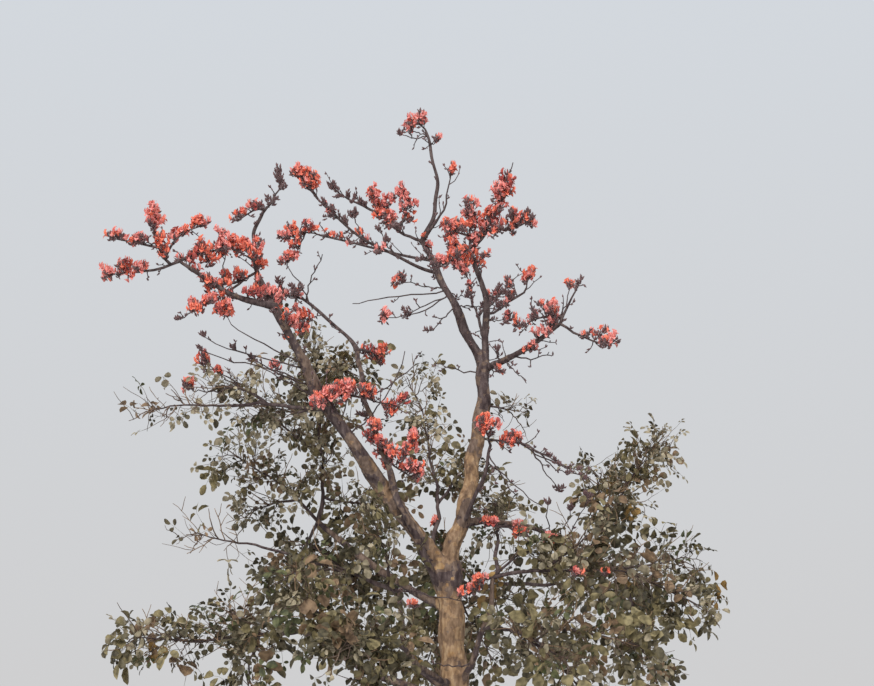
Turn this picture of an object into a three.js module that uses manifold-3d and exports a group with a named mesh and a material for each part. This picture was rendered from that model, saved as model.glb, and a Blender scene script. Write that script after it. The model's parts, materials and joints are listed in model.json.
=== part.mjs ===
// Flame of the forest (Butea monosperma): a whole tree, its upper crown in blossom on leafless twigs and its
// lower crown still in leaf. Millimetres, +Z up, +X to the right of the front view, +Y away from the front.
// The origin is the middle of the flat cut across the root flare, at ground level.
//
// The trunk forks into boughs, and each bough is a tapering tube bowed between the limb that carries it and
// its own end. A mass is one solid: arms that leave a limb, with twigs and leaves, or heads of blossom, that
// stand round them by a seeded rule.
import * as THREE from 'three';
import { mergeVertices } from 'three/addons/utils/BufferGeometryUtils.js';
import Module from 'manifold-3d';

const wasm = await Module();
wasm.setup();
const { lerp, smoothstep } = THREE.MathUtils;

// Driving dimensions of the trunk
const FORK_HEIGHT = 3530; // ground to the fork
const TRUNK_LEAN = 260; // how far the fork stands to the left of the foot
const LEAN_POWER = 1.3; // the lean grows with height
const TRUNK_RADIUS_FOOT = 205; // without the root flare
const TRUNK_RADIUS_FORK = 135;
const ROOT_FLARE = 150; // added to the radius at the ground
const ROOT_FLARE_HEIGHT = 260; // height over which the flare dies away
const ROOT_LOBES = 5;
const ROOT_LOBE_DEPTH = 0.38; // share of the flare that swells and shrinks between the roots
const ROOT_TURN = 0.6; // radians by which the lobes are turned round the trunk
const FORK_WIDENING = 0.5; // share by which the trunk widens from left to right where it divides
const FORK_WIDENING_START = 3000;
const CROTCH = 110; // the trunk's rounded top stands this far above the fork
const TRUNK_SIDES = 16;
const TRUNK_RINGS = 9;

// Driving dimensions of limbs and masses
const CLEARANCE = 0.4; // gap between a limb and what grows from it
const COLLAR = 0.3; // share by which a limb swells where it leaves another
const THICK_BOUGH = 80; // limbs with a larger radius get the most sides
const SMALL_BRANCH = 42; // limbs with a smaller radius get the fewest
const LIMB_STEP = 380; // length of one straight stretch of a limb
const ARM_STEP = 500; // and of an arm of a mass
const LEAF_LENGTH = 340; // a leaf of three leaflets, from its stalk to the tip of the middle one
const LEAF_SPAN = 430; // across the two side leaflets
const LEAF_THICKNESS = 12;
const LEAF_DROOP = 0.9; // how much the blades hang
const LEAF_TILT = 1; // how far they turn from lying flat
const ARM_RADIUS = 15; // at the base of an arm of no length
const ARM_TAPER = 0.006; // added to that for each millimetre of its length
const ARM_TIP_RADIUS = 13;
const TWIG_SPACING = 205; // between the twigs of an arm
const TWIG_RADIUS = [6, 5]; // at base and tip
const SHORTEST_TWIG = 50;
const HEAD_SPACING = 2; // between the heads of blossom on an arm, in spreads
const HEAD_LENGTH = 1.45; // in spreads
const KEEP_CLEAR = 3; // a twig, leaf or head stays this far from limbs and other masses
const OWN_GAP = 2; // and this far from those of its own mass

const BARK = { color: 0x6f6259, roughness: 0.9, metalness: 0 };
const BLOSSOM = { color: 0xe2583a, roughness: 0.7, metalness: 0 };
const FOLIAGE = { color: 0x66694f, roughness: 0.75, metalness: 0 };
const GOLDEN_ANGLE = Math.PI * (3 - Math.sqrt(5));

// Park-Miller random numbers: the same seed always grows the same twigs.
function seeded(seed) {
  const MODULUS = 2147483647;
  const FACTOR = 16807;
  const SPREAD_SEEDS = 7919;
  let state = (seed * SPREAD_SEEDS) % MODULUS;
  return (low = 0, high = 1) => {
    state = (state * FACTOR) % MODULUS;
    return low + (high - low) * (state / MODULUS);
  };
}

const vector = ([x, y, z]) => new THREE.Vector3(x, y, z);

// The arc from start to end whose middle stands off the straight line by bow.
function bowed(start, end, bow) {
  const control = start.clone().add(end).multiplyScalar(0.5).addScaledVector(vector(bow), 2);
  return new THREE.QuadraticBezierCurve3(start, control, end);
}

// Closed mesh of rings of equal length, with a flat fan at the first ring and a point past the last.
function closeRings(rings, first, last) {
  const sides = rings[0].length;
  const points = [...rings.flat(), first, last];
  const firstIndex = points.length - 2;
  const lastIndex = points.length - 1;
  const top = (rings.length - 1) * sides;
  const faces = [];
  for (let side = 0; side < sides; side += 1) {
    const next = (side + 1) % sides;
    faces.push(firstIndex, next, side);
    faces.push(lastIndex, top + side, top + next);
    for (let ring = 0; ring < rings.length - 1; ring += 1) {
      const low = ring * sides;
      const high = low + sides;
      faces.push(low + side, low + next, high + next);
      faces.push(low + side, high + next, high + side);
    }
  }
  return new THREE.BufferGeometry().setFromPoints(points).setIndex(faces);
}

// A tapering tube with a rounded end, or a pointed one if it has few sides. grow makes it bigger all round.
function limbGeometry({ curve, radius, sides, steps, collar = 0 }, grow = 0) {
  const END = { past: 0.45, width: 0.8, point: 0.8 }; // all in radii of the tip
  const FEW_SIDES = 4;
  const [base, tip] = radius;
  const length = curve.getLength();
  const frames = curve.computeFrenetFrames(steps, false);
  const ringAt = (centre, step, r) => Array.from({ length: sides }, (_, side) => {
    const angle = (2 * Math.PI * side) / sides;
    return centre.clone()
      .addScaledVector(frames.normals[step], Math.cos(angle) * r)
      .addScaledVector(frames.binormals[step], Math.sin(angle) * r);
  });
  const start = curve.getPoint(0).addScaledVector(curve.getTangent(0), -grow);
  const rings = [];
  for (let step = 0; step <= steps; step += 1) {
    const t = step / steps;
    const swell = 1 + collar * Math.exp((-t * length) / (2 * base));
    const centre = step === 0 ? start : curve.getPoint(t);
    rings.push(ringAt(centre, step, (base + (tip - base) * t) * swell + grow));
  }
  const end = curve.getPoint(1);
  const onward = curve.getTangent(1);
  const beyond = (distance) => end.clone().addScaledVector(onward, distance);
  if (sides > FEW_SIDES) rings.push(ringAt(beyond(tip * END.past + grow), steps, tip * END.width + grow));
  return closeRings(rings, start, beyond(tip * END.point + 2 * grow));
}

const trunkLean = (height) => -TRUNK_LEAN * (height / FORK_HEIGHT) ** LEAN_POWER;

// The trunk: level rings from the flat cut at the ground to a rounded top inside the fork.
function trunkGeometry(grow = 0) {
  const RING_CROWDING = 1.7; // rings are closer together in the root flare
  const CROWN = [[0.55, 0.82], [0.9, 0.5]]; // shares of the crotch's height and of the fork's width
  const ringAt = (height, share) => Array.from({ length: TRUNK_SIDES }, (_, side) => {
    const angle = (2 * Math.PI * side) / TRUNK_SIDES;
    const lobes = 1 + ROOT_LOBE_DEPTH * Math.cos(ROOT_LOBES * angle + ROOT_TURN);
    const flare = ROOT_FLARE * Math.exp(-height / ROOT_FLARE_HEIGHT) * lobes;
    const taper = lerp(TRUNK_RADIUS_FOOT, TRUNK_RADIUS_FORK, Math.min(height / FORK_HEIGHT, 1));
    const widening = 1 + FORK_WIDENING * smoothstep(height, FORK_WIDENING_START, FORK_HEIGHT);
    const r = (taper + flare) * share + grow;
    return new THREE.Vector3(
      trunkLean(height) + Math.cos(angle) * r * widening,
      Math.sin(angle) * r,
      height,
    );
  });
  const rings = [];
  for (let ring = 0; ring <= TRUNK_RINGS; ring += 1) {
    rings.push(ringAt(FORK_HEIGHT * (ring / TRUNK_RINGS) ** RING_CROWDING, 1));
  }
  for (const [above, share] of CROWN) rings.push(ringAt(FORK_HEIGHT + above * CROTCH + grow, share));
  const top = new THREE.Vector3(trunkLean(FORK_HEIGHT), 0, FORK_HEIGHT + CROTCH + 2 * grow);
  return closeRings(rings, new THREE.Vector3(0, 0, 0), top);
}

// A mesh as a solid that can be joined and cut, and back.
const MERGE_DISTANCE = 1e-3;

function solidOf(geometry) {
  const bare = new THREE.BufferGeometry().setAttribute('position', geometry.getAttribute('position'));
  if (geometry.index) bare.setIndex(geometry.index);
  const merged = mergeVertices(bare, MERGE_DISTANCE);
  return new wasm.Manifold(new wasm.Mesh({
    numProp: 3,
    vertProperties: merged.attributes.position.array,
    triVerts: new Uint32Array(merged.index.array),
  }));
}

function geometryOf(solid) {
  const mesh = solid.getMesh();
  return new THREE.BufferGeometry()
    .setAttribute('position', new THREE.BufferAttribute(mesh.vertProperties, 3))
    .setIndex(new THREE.BufferAttribute(mesh.triVerts, 1));
}

// The largest body of a solid. Scraps that came loose and hollows that fusing sealed are bodies of their own
// and are left behind, also those that only appear when points a thousandth of a millimetre apart are merged.
function wholeBody(solid) {
  const largest = (whole) => whole.decompose().sort((a, b) => b.volume() - a.volume())[0];
  return largest(solidOf(geometryOf(largest(solid))));
}

// Everything placed so far: name, solid, the slightly larger shape that others are cut by, and its curves.
const placed = new Map();

function boxesMeet(a, b, margin) {
  const p = a.boundingBox();
  const q = b.boundingBox();
  return [0, 1, 2].every((k) => p.min[k] - margin < q.max[k] && q.min[k] - margin < p.max[k]);
}

// Cuts a solid clear of every limb and mass stem that it reaches into.
function cutClear(solid) {
  let cut = solid;
  for (const { clearing } of placed.values()) {
    if (boxesMeet(cut, clearing, 1)) cut = cut.subtract(clearing);
  }
  return wholeBody(cut);
}

const standsClear = (piece, others, gap) => others.every((other) => !boxesMeet(piece, other, gap)
  || piece.minGap(other, gap) >= gap);

// Limbs: each grows on another, at a share of that limb's length, to its own end. radius is at base and tip.
const LIMBS = [
  { name: 'left_bough', on: 'trunk', at: 0.97, to: [-1780, -500, 5470], bow: [60, 40, -120],
    radius: [104, 80] },
  { name: 'right_bough', on: 'trunk', at: 0.97, to: [230, 250, 5980], bow: [90, 0, 0], radius: [102, 84] },
  { name: 'left_bough_upper', on: 'left_bough', at: 1, to: [-2280, -850, 6450], bow: [30, 0, 20],
    radius: [74, 50] },
  { name: 'left_reach', on: 'left_bough_upper', at: 1, to: [-3350, -1300, 6890], bow: [-30, 0, -60],
    radius: [44, 24] },
  { name: 'left_spire', on: 'left_bough_upper', at: 0.97, to: [-2510, -400, 7740], bow: [-170, 0, -20],
    radius: [34, 20] },
  { name: 'inner_left_bough', on: 'trunk', at: 0.86, to: [-1350, 100, 6150], bow: [-160, -380, 0],
    radius: [46, 32] },
  { name: 'inner_left_arm', on: 'inner_left_bough', at: 1, to: [-2080, 700, 6950], bow: [50, 0, 30],
    radius: [28, 18] },
  { name: 'crown_bough', on: 'right_bough', at: 1, to: [-520, 480, 7680], bow: [-30, 0, 0],
    radius: [62, 38] },
  { name: 'middle_bough', on: 'right_bough', at: 1, to: [50, -250, 7340], bow: [100, 60, 0],
    radius: [50, 32] },
  { name: 'right_arm', on: 'right_bough', at: 0.98, to: [1130, -700, 6310], bow: [0, 0, -50],
    radius: [46, 26] },
  { name: 'leader', on: 'crown_bough', at: 1, to: [-510, 600, 9210], bow: [150, 0, 0], radius: [30, 16] },
  { name: 'crown_arm_upper', on: 'crown_bough', at: 0.74, to: [-1790, -200, 7920], bow: [-60, 0, -90],
    radius: [22, 14] },
  { name: 'crown_arm_lower', on: 'crown_bough', at: 0.84, to: [-1900, 1450, 8030], bow: [0, 0, -20],
    radius: [20, 12] },
  { name: 'right_low_bough', on: 'right_bough', at: 0.22, to: [1500, 1000, 3650], bow: [60, 0, 190],
    radius: [46, 28] },
  { name: 'right_side_branch', on: 'right_bough', at: 0.2, to: [310, -260, 4890], bow: [30, -60, -20],
    radius: [30, 18] },
  { name: 'left_low_bough', on: 'trunk', at: 0.58, to: [-780, -450, 3150], bow: [-180, -50, -230],
    radius: [46, 32] },
  { name: 'left_rear_bough', on: 'trunk', at: 0.84, to: [-1830, 900, 4140], bow: [-50, 0, -80],
    radius: [58, 36] },
  { name: 'left_far_bough', on: 'trunk', at: 0.54, to: [-1960, -300, 2710], bow: [0, 0, -120],
    radius: [54, 32] },
  { name: 'front_bough', on: 'trunk', at: 0.6, to: [-710, -1200, 2440], bow: [-60, 0, -80],
    radius: [50, 30] },
  { name: 'right_front_bough', on: 'trunk', at: 0.57, to: [300, -480, 3300], bow: [60, -120, -60],
    radius: [44, 30] },
  { name: 'rear_bough', on: 'trunk', at: 0.86, to: [-130, 900, 3300], bow: [0, 0, -70], radius: [54, 34] },
];

// Masses of blossom. An arm leaves the limb's end, or the share "at" of an earlier arm, and carries heads of
// blossom from the share "from" onward. spread is how far they stand out from the arm.
const BLOOMS = [
  { name: 'left_end_bloom', on: 'left_reach', arms: [
    { to: [-4200, -1250, 6740], bow: [0, 0, -40], spread: 100, from: 0.4 },
    { arm: 0, at: 0.12, to: [-3670, -1400, 7440], bow: [-40, 0, -60], spread: 150, from: 0.1 },
    { arm: 1, at: 0.45, to: [-4080, -1600, 7080], bow: [0, 0, -20], spread: 90, from: 0.3 },
    { arm: 1, at: 0.2, to: [-3130, -1100, 7380], bow: [-60, 0, 60], spread: 100, from: 0.35 },
  ] },
  { name: 'left_ridge_bloom', on: 'left_reach', arms: [
    { to: [-2550, -820, 7180], bow: [0, 0, 60], spread: 150, from: 0.1 },
  ] },
  { name: 'left_spire_bloom', on: 'left_spire', arms: [
    { to: [-2300, -300, 8310], bow: [40, 0, -30], spread: 120, from: 0.05 },
    { arm: 0, at: 0.1, to: [-2750, -600, 7600], bow: [0, 0, 50], spread: 90, from: 0.1 },
  ] },
  { name: 'left_inner_bloom', on: 'left_spire', at: 0.4, arms: [
    { to: [-3060, -900, 6720], bow: [0, 0, -30], spread: 100, from: 0.2 },
    { arm: 0, at: 0.3, to: [-3170, -1350, 6280], bow: [0, 0, -40], spread: 110, from: 0.6 },
  ] },
  { name: 'left_core_bloom', on: 'inner_left_arm', arms: [
    { to: [-2500, 100, 6830], bow: [0, 0, 20], spread: 100, from: 0.05 },
    { arm: 0, at: 0.15, to: [-2090, 300, 6450], bow: [0, 0, 40], spread: 120, from: 0.4 },
  ] },
  { name: 'far_bloom', on: 'crown_arm_lower', arms: [
    { to: [-2380, 1600, 8030], bow: [0, 0, 80], spread: 130, from: 0.05 },
    { arm: 0, at: 0.45, to: [-2400, 1650, 7730], bow: [60, 0, 0], spread: 110, from: 0.3 },
  ] },
  { name: 'crown_left_bloom', on: 'crown_arm_upper', arms: [
    { to: [-1940, -260, 8200], bow: [-20, 0, 0], spread: 200, from: 0.2 },
  ] },
  { name: 'crown_bloom', on: 'crown_bough', arms: [
    { to: [-1190, 900, 8330], bow: [-60, 0, -80], spread: 200, from: 0.3 },
    { arm: 0, at: 0.4, to: [-790, 600, 8340], bow: [40, 0, 0], spread: 140, from: 0.2 },
    { arm: 0, at: 0.75, to: [-1780, 800, 8510], bow: [0, 0, -30], spread: 75, from: 0.3 },
  ] },
  { name: 'leader_bloom', on: 'leader', arms: [
    { to: [-610, 600, 9330], bow: [20, 0, 0], spread: 140, from: 0.2 },
  ] },
  { name: 'side_bloom', on: 'crown_bough', arms: [
    { to: [-190, 200, 8530], bow: [60, -60, -80], spread: 90, from: 0.88 },
  ] },
  { name: 'middle_bloom', on: 'middle_bough', arms: [
    { to: [90, -360, 7770], bow: [-20, 0, 0], spread: 210, from: 0.1 },
    { arm: 0, at: 0.1, to: [-300, -500, 7090], bow: [0, 0, -20], spread: 150, from: 0.2 },
    { arm: 0, at: 0.4, to: [-200, -600, 7500], bow: [0, 0, 0], spread: 130, from: 0.3 },
  ] },
  { name: 'right_high_bloom', on: 'middle_bough', arms: [
    { to: [500, -350, 8130], bow: [60, 0, -60], spread: 160, from: 0.15 },
    { arm: 0, at: 0.35, to: [780, -600, 7590], bow: [0, 0, -40], spread: 110, from: 0.15 },
  ] },
  { name: 'right_mid_bloom', on: 'middle_bough', at: 0.45, arms: [
    { to: [590, 300, 6880], bow: [0, 0, -40], spread: 90, from: 0.35 },
    { arm: 0, at: 0.9, to: [840, 500, 7200], bow: [60, 0, -20], spread: 90, from: 0.6 },
  ] },
  { name: 'right_arm_bloom', on: 'right_arm', arms: [
    { to: [1350, -800, 6800], bow: [-30, 0, 0], spread: 60, from: 0.7 },
    { arm: 0, at: 0.15, to: [690, -430, 6310], bow: [0, -60, 50], spread: 160, from: 0.05 },
  ] },
  { name: 'right_tip_bloom', on: 'right_arm', arms: [
    { to: [1630, -1000, 5970], bow: [0, 0, -40], spread: 170, from: 0.4 },
  ] },
  { name: 'shoulder_bloom', on: 'left_bough', arms: [
    { to: [-800, -260, 5380], bow: [0, -60, 30], spread: 150, from: 0.05 },
  ] },
  { name: 'inner_bloom', on: 'inner_left_bough', arms: [
    { to: [-1080, 600, 6100], bow: [0, 0, 60], spread: 130, from: 0.3 },
  ] },
  { name: 'gap_bloom', on: 'inner_left_bough', at: 0.6, arms: [
    { to: [-600, -100, 4510], bow: [-60, 0, -60], spread: 130, from: 0.1 },
    { arm: 0, at: 0.6, to: [-640, -100, 4970], bow: [0, 0, 0], spread: 110, from: 0.2 },
  ] },
  { name: 'right_side_bloom', on: 'right_side_branch', arms: [
    { to: [240, -450, 5080], bow: [0, 0, 0], spread: 160, from: 0.3 },
    { arm: 0, at: 0.3, to: [560, -420, 4860], bow: [0, 0, 20], spread: 130, from: 0.4 },
    { arm: 1, at: 0.7, to: [1090, -600, 4640], bow: [0, 0, 60], spread: 50, from: 0.7 },
  ] },
  { name: 'low_bloom', on: 'right_front_bough', arms: [
    { to: [-10, -620, 3110], bow: [0, 0, 50], spread: 110, from: 0.2 },
  ] },
  { name: 'right_low_bloom', on: 'right_low_bough', at: 0.3, arms: [
    { to: [640, 250, 3900], bow: [0, 0, 0], spread: 110, from: 0.4 },
    { arm: 0, at: 0.3, to: [240, 100, 3970], bow: [0, 0, 0], spread: 80, from: 0.6 },
    { arm: 0, at: 0.9, to: [1040, 150, 3770], bow: [0, 0, 0], spread: 70, from: 0.7 },
  ] },
  { name: 'back_bloom', on: 'right_bough', arms: [
    { to: [-20, 1500, 7680], bow: [100, 150, -150], spread: 150, from: 0.8, radius: 32 },
    { arm: 0, at: 0.97, to: [-180, 1800, 8240], bow: [0, 0, 0], spread: 170, from: 0.1 },
    { arm: 0, at: 0.6, to: [600, 1900, 7500], bow: [0, 0, -60], spread: 130, from: 0.4 },
  ] },
];

// Masses of leaves: the same arms, with twigs that carry leaves.
const LEAFY = [
  { name: 'left_top_leaves', on: 'left_bough', at: 0.93, arms: [
    { to: [-3700, -1100, 5180], bow: [0, 0, 60], spread: 200, from: 0.66 },
    { arm: 0, at: 0.35, to: [-2950, -600, 5570], bow: [0, 0, 60], spread: 280, from: 0.2 },
    { arm: 0, at: 0.1, to: [-2460, -300, 5400], bow: [0, 0, -60], spread: 330, from: 0.2 },
  ] },
  { name: 'left_mid_leaves', on: 'left_rear_bough', arms: [
    { to: [-2800, 200, 4830], bow: [0, 0, 80], spread: 370, from: 0.25 },
    { arm: 0, at: 0.25, to: [-2700, 700, 4250], bow: [0, 0, 0], spread: 370, from: 0.2 },
  ] },
  { name: 'left_back_leaves', on: 'left_rear_bough', arms: [
    { to: [-1960, 900, 6250], bow: [60, 100, 0], spread: 380, from: 0.2 },
    { arm: 0, at: 0.15, to: [-1160, 1500, 4450], bow: [0, 0, -60], spread: 400, from: 0.2 },
    { arm: 0, at: 0.4, to: [-2700, 500, 5650], bow: [0, 0, -60], spread: 350, from: 0.3 },
    { arm: 0, at: 0.8, to: [-1540, 1000, 6120], bow: [0, 0, 0], spread: 200, from: 0.3 },
  ] },
  { name: 'centre_leaves', on: 'left_bough', at: 0.12, arms: [
    { to: [-670, 1050, 5860], bow: [160, -100, -150], spread: 300, from: 0.45 },
    { arm: 0, at: 0.35, to: [50, 1000, 4850], bow: [0, 0, 0], spread: 300, from: 0.3 },
  ] },
  { name: 'left_low_leaves', on: 'left_low_bough', arms: [
    { to: [-3120, -1000, 3760], bow: [0, 0, 60], spread: 300, from: 0.75 },
    { arm: 0, at: 0.2, to: [-2030, -900, 3300], bow: [0, 0, 60], spread: 400, from: 0.1 },
    { arm: 0, at: 0.05, to: [-1080, -800, 3850], bow: [0, 0, 60], spread: 350, from: 0.2 },
  ] },
  { name: 'left_foot_leaves', on: 'left_far_bough', arms: [
    { to: [-3900, -300, 2620], bow: [0, 0, -60], spread: 400, from: 0.1 },
    { arm: 0, at: 0.3, to: [-2850, 400, 2980], bow: [0, 0, 0], spread: 380, from: 0.2 },
    { arm: 0, at: 0.25, to: [-2500, -800, 2000], bow: [0, 0, 60], spread: 400, from: 0.2 },
  ] },
  { name: 'left_behind_leaves', on: 'left_rear_bough', arms: [
    { to: [-2360, 2050, 3470], bow: [0, 0, -40], spread: 430, from: 0.25 },
    { arm: 0, at: 0.3, to: [-1190, 2250, 3380], bow: [0, 0, 0], spread: 430, from: 0.2 },
  ] },
  { name: 'front_leaves', on: 'front_bough', arms: [
    { to: [-1320, -2350, 2430], bow: [0, 0, 100], spread: 420, from: 0.1 },
    { arm: 0, at: 0.2, to: [-1850, -1700, 2880], bow: [0, 0, 0], spread: 420, from: 0.25 },
    { arm: 0, at: 0.3, to: [-1050, -1900, 1700], bow: [0, 0, 60], spread: 380, from: 0.3 },
  ] },
  { name: 'back_leaves', on: 'rear_bough', arms: [
    { to: [-350, 2300, 3800], bow: [0, 0, 60], spread: 430, from: 0.1 },
    { arm: 0, at: 0.25, to: [740, 2250, 3200], bow: [0, 0, 0], spread: 430, from: 0.25 },
    { arm: 0, at: 0.2, to: [-500, 1950, 2350], bow: [0, 0, 60], spread: 400, from: 0.3 },
    { arm: 0, at: 0.1, to: [290, 1550, 2500], bow: [0, 0, 60], spread: 380, from: 0.2 },
  ] },
  { name: 'right_inner_leaves', on: 'right_front_bough', arms: [
    { to: [770, -550, 3590], bow: [0, 0, 60], spread: 320, from: 0.2 },
    { arm: 0, at: 0.1, to: [410, 1300, 4410], bow: [0, 0, 60], spread: 300, from: 0.45 },
  ] },
  { name: 'right_mid_leaves', on: 'right_front_bough', arms: [
    { to: [1950, -950, 3290], bow: [0, 0, 80], spread: 400, from: 0.25 },
    { arm: 0, at: 0.35, to: [1420, -600, 3800], bow: [0, 0, 0], spread: 380, from: 0.25 },
  ] },
  { name: 'right_foot_leaves', on: 'right_front_bough', at: 0.6, arms: [
    { to: [950, -1950, 2350], bow: [0, 0, 100], spread: 420, from: 0.3 },
    { arm: 0, at: 0.4, to: [1860, -1500, 2480], bow: [0, 0, 60], spread: 420, from: 0.2 },
    { arm: 0, at: 0.5, to: [1450, -1450, 1750], bow: [0, 0, 60], spread: 380, from: 0.3 },
  ] },
  { name: 'right_high_leaves', on: 'right_low_bough', arms: [
    { to: [2340, 800, 5050], bow: [-60, 0, -60], spread: 400, from: 0.25 },
    { arm: 0, at: 0.4, to: [1700, 1300, 4700], bow: [0, 0, 0], spread: 330, from: 0.3 },
  ] },
  { name: 'right_far_leaves', on: 'right_low_bough', arms: [
    { to: [2850, 300, 3000], bow: [0, 0, 60], spread: 400, from: 0.15 },
    { arm: 0, at: 0.3, to: [2700, 700, 3650], bow: [0, 0, 0], spread: 380, from: 0.2 },
    { arm: 0, at: 0.25, to: [2350, 500, 2200], bow: [0, 0, 60], spread: 380, from: 0.3 },
  ] },
  { name: 'right_small_leaves', on: 'right_bough', at: 0.78, arms: [
    { to: [560, 280, 5390], bow: [0, 0, 60], spread: 200, from: 0.3 },
  ] },
  { name: 'right_back_leaves', on: 'rear_bough', arms: [
    { to: [2250, 2100, 3370], bow: [200, 0, 60], spread: 430, from: 0.35 },
    { arm: 0, at: 0.55, to: [1500, 2200, 3900], bow: [0, 0, 0], spread: 400, from: 0.25 },
  ] },
];

// A direction that leans from an arm's own heading, turned round it by an angle and lifted towards the sky.
function leaningFrom(heading, turn, lean, lift) {
  const UPRIGHT = 0.05; // sine of the angle under which a heading counts as straight up
  const side = new THREE.Vector3(0, 0, 1).cross(heading);
  if (side.length() < UPRIGHT) side.set(1, 0, 0);
  side.normalize().applyAxisAngle(heading, turn);
  const leaning = heading.clone().multiplyScalar(Math.cos(lean)).addScaledVector(side, Math.sin(lean));
  leaning.z += lift;
  return leaning.normalize();
}

// A long octahedron from root to tip, flat or round across. flatUp is the way its flat side faces.
function spindle(root, direction, length, width, thickness, flatUp) {
  const across = direction.clone().cross(flatUp).normalize();
  const normal = direction.clone().cross(across);
  const frame = new THREE.Matrix4().makeBasis(
    direction.clone().multiplyScalar(length / 2),
    across.multiplyScalar(width / 2),
    normal.multiplyScalar(thickness / 2),
  ).setPosition(root.clone().addScaledVector(direction, length / 2));
  return solidOf(new THREE.OctahedronGeometry(1, 0).applyMatrix4(frame));
}

// A tube follows its curve in straight chords. This is the place on those chords.
function pointOnChords(curve, steps, place) {
  const chord = Math.min(Math.floor(place * steps), steps - 1);
  const from = curve.getPoint(chord / steps);
  return from.lerp(curve.getPoint((chord + 1) / steps), place * steps - chord);
}

// How many stations fit on an arm past its bare part.
function stationCount({ curve, from }, spacing, fewest) {
  return Math.max(fewest, Math.round(((1 - from) * curve.getLength()) / spacing));
}

// Stations along an arm where heads or twigs stand, with the turn and random draws that each one gets.
function stations({ curve, from, point }, count, random) {
  return Array.from({ length: count }, (_, i) => {
    const t = from + (1 - from) * ((i + 0.5) / count);
    return {
      root: point(t),
      heading: curve.getTangent(t),
      turn: i * GOLDEN_ANGLE + random(-0.5, 0.5),
      size: random(0.75, 1.1),
      lean: random(0.7, 1.15),
    };
  });
}

// Heads of blossom stand out along the arm, and one crowns its end.
function bloomPieces(arm, random) {
  const HEAD_LIFT = 0.35;
  const HEAD_LEAN = 1.1;
  const ACROSS = 0.75; // width and thickness of a head as shares of its length
  const DEEP = 0.6;
  const SUNK = 4; // a head's root passes this far beyond the middle of its arm
  const END_SUNK = 0.45; // share of the last head that covers the end of its arm
  const count = stationCount(arm, arm.spread * HEAD_SPACING, 1);
  const head = (root, direction, length, sunk, facing) => {
    const start = root.clone().addScaledVector(direction, -sunk);
    return { whole: spindle(start, direction, length, length * ACROSS, length * DEEP, facing) };
  };
  const along = stations(arm, count, random).map(({ root, heading, turn, size, lean }) => {
    const direction = leaningFrom(heading, turn, lean * HEAD_LEAN, HEAD_LIFT);
    return head(root, direction, arm.spread * size * HEAD_LENGTH, SUNK, heading);
  });
  const front = new THREE.Vector3(0, 1, 0);
  const onward = leaningFrom(arm.curve.getTangent(1), 0, 0, HEAD_LIFT);
  const length = arm.spread * HEAD_LENGTH;
  return [...along, head(arm.point(1), onward, length, length * END_SUNK, front)];
}

// A twig and the leaf at its end in one closed tube of three corners: right, above and left. Across the leaf
// the tube is flat, wide at the side leaflets, narrower past them and pointed at the tip of the middle one.
// Each row of the outline holds a place along the leaf, half its width there and the height of its ridge.
const LEAF_OUTLINE = [[0.3, 1, 1], [0.46, 0.3, 0.8]];

function sprig(root, direction, reach, random) {
  const blade = direction.clone();
  blade.z -= LEAF_DROOP * random(0.2, 1.3);
  blade.normalize();
  const up = new THREE.Vector3(random(-LEAF_TILT, LEAF_TILT), random(-LEAF_TILT, LEAF_TILT), 1);
  const across = blade.clone().cross(up).normalize();
  const normal = blade.clone().cross(across);
  const scale = random(0.8, 1.1);
  const corners = (centre, wide, high) => [
    centre.clone().addScaledVector(across, wide),
    centre.clone().addScaledVector(normal, high),
    centre.clone().addScaledVector(across, -wide),
  ];
  const joint = root.clone().addScaledVector(direction, reach);
  const along = (share) => joint.clone().addScaledVector(blade, share * LEAF_LENGTH * scale);
  const rings = [
    corners(root, TWIG_RADIUS[0], TWIG_RADIUS[0]),
    corners(joint, TWIG_RADIUS[1], TWIG_RADIUS[1]),
    ...LEAF_OUTLINE.map(([share, wide, high]) => corners(
      along(share), wide * LEAF_SPAN * 0.5 * scale, high * LEAF_THICKNESS,
    )),
  ];
  return {
    whole: solidOf(closeRings(rings, root, along(1))),
    blade: solidOf(closeRings(rings.slice(1), joint, along(1))),
  };
}

// Twigs lean out along the arm to all lengths, each with a leaf at its end.
function leafPieces(arm, random) {
  const TWIG_LIFT = 0.15;
  const SHORTEST = 0.25; // reach of the shortest twig as a share of the spread
  const STALK = 0.6; // share of a leaf's length that is taken off its twig
  const NEAR_END = 0.98; // the last leaf's place on its arm
  const count = stationCount(arm, TWIG_SPACING, 2);
  const twigs = stations(arm, count, random).map(({ root, heading, turn, size, lean }) => {
    const direction = leaningFrom(heading, turn, lean, TWIG_LIFT);
    const reach = Math.max(arm.spread * random(SHORTEST, size) - LEAF_LENGTH * STALK, SHORTEST_TWIG);
    return sprig(root, direction, reach, random);
  });
  return [...twigs, sprig(arm.point(NEAR_END), arm.curve.getTangent(1), SHORTEST_TWIG, random)];
}

// The arms of a mass as curves, from the limb's own end or flank.
function armsOf({ on, at = 1, arms }) {
  const THICKEST = 0.9; // share of the limb's own radius
  const host = placed.get(on);
  const grown = [];
  for (const { arm, at: share = 1, to, bow, spread, from, radius } of arms) {
    const start = arm === undefined ? host.curve.getPoint(at) : grown[arm].point(share);
    const curve = bowed(start, vector(to), bow);
    const base = radius ?? Math.min(host.tip * THICKEST, ARM_RADIUS + curve.getLength() * ARM_TAPER);
    const steps = Math.max(2, Math.round(curve.getLength() / ARM_STEP));
    const point = (place) => pointOnChords(curve, steps, place);
    grown.push({ curve, steps, point, spread, from, radius: [base, ARM_TIP_RADIUS] });
  }
  return grown;
}

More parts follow.
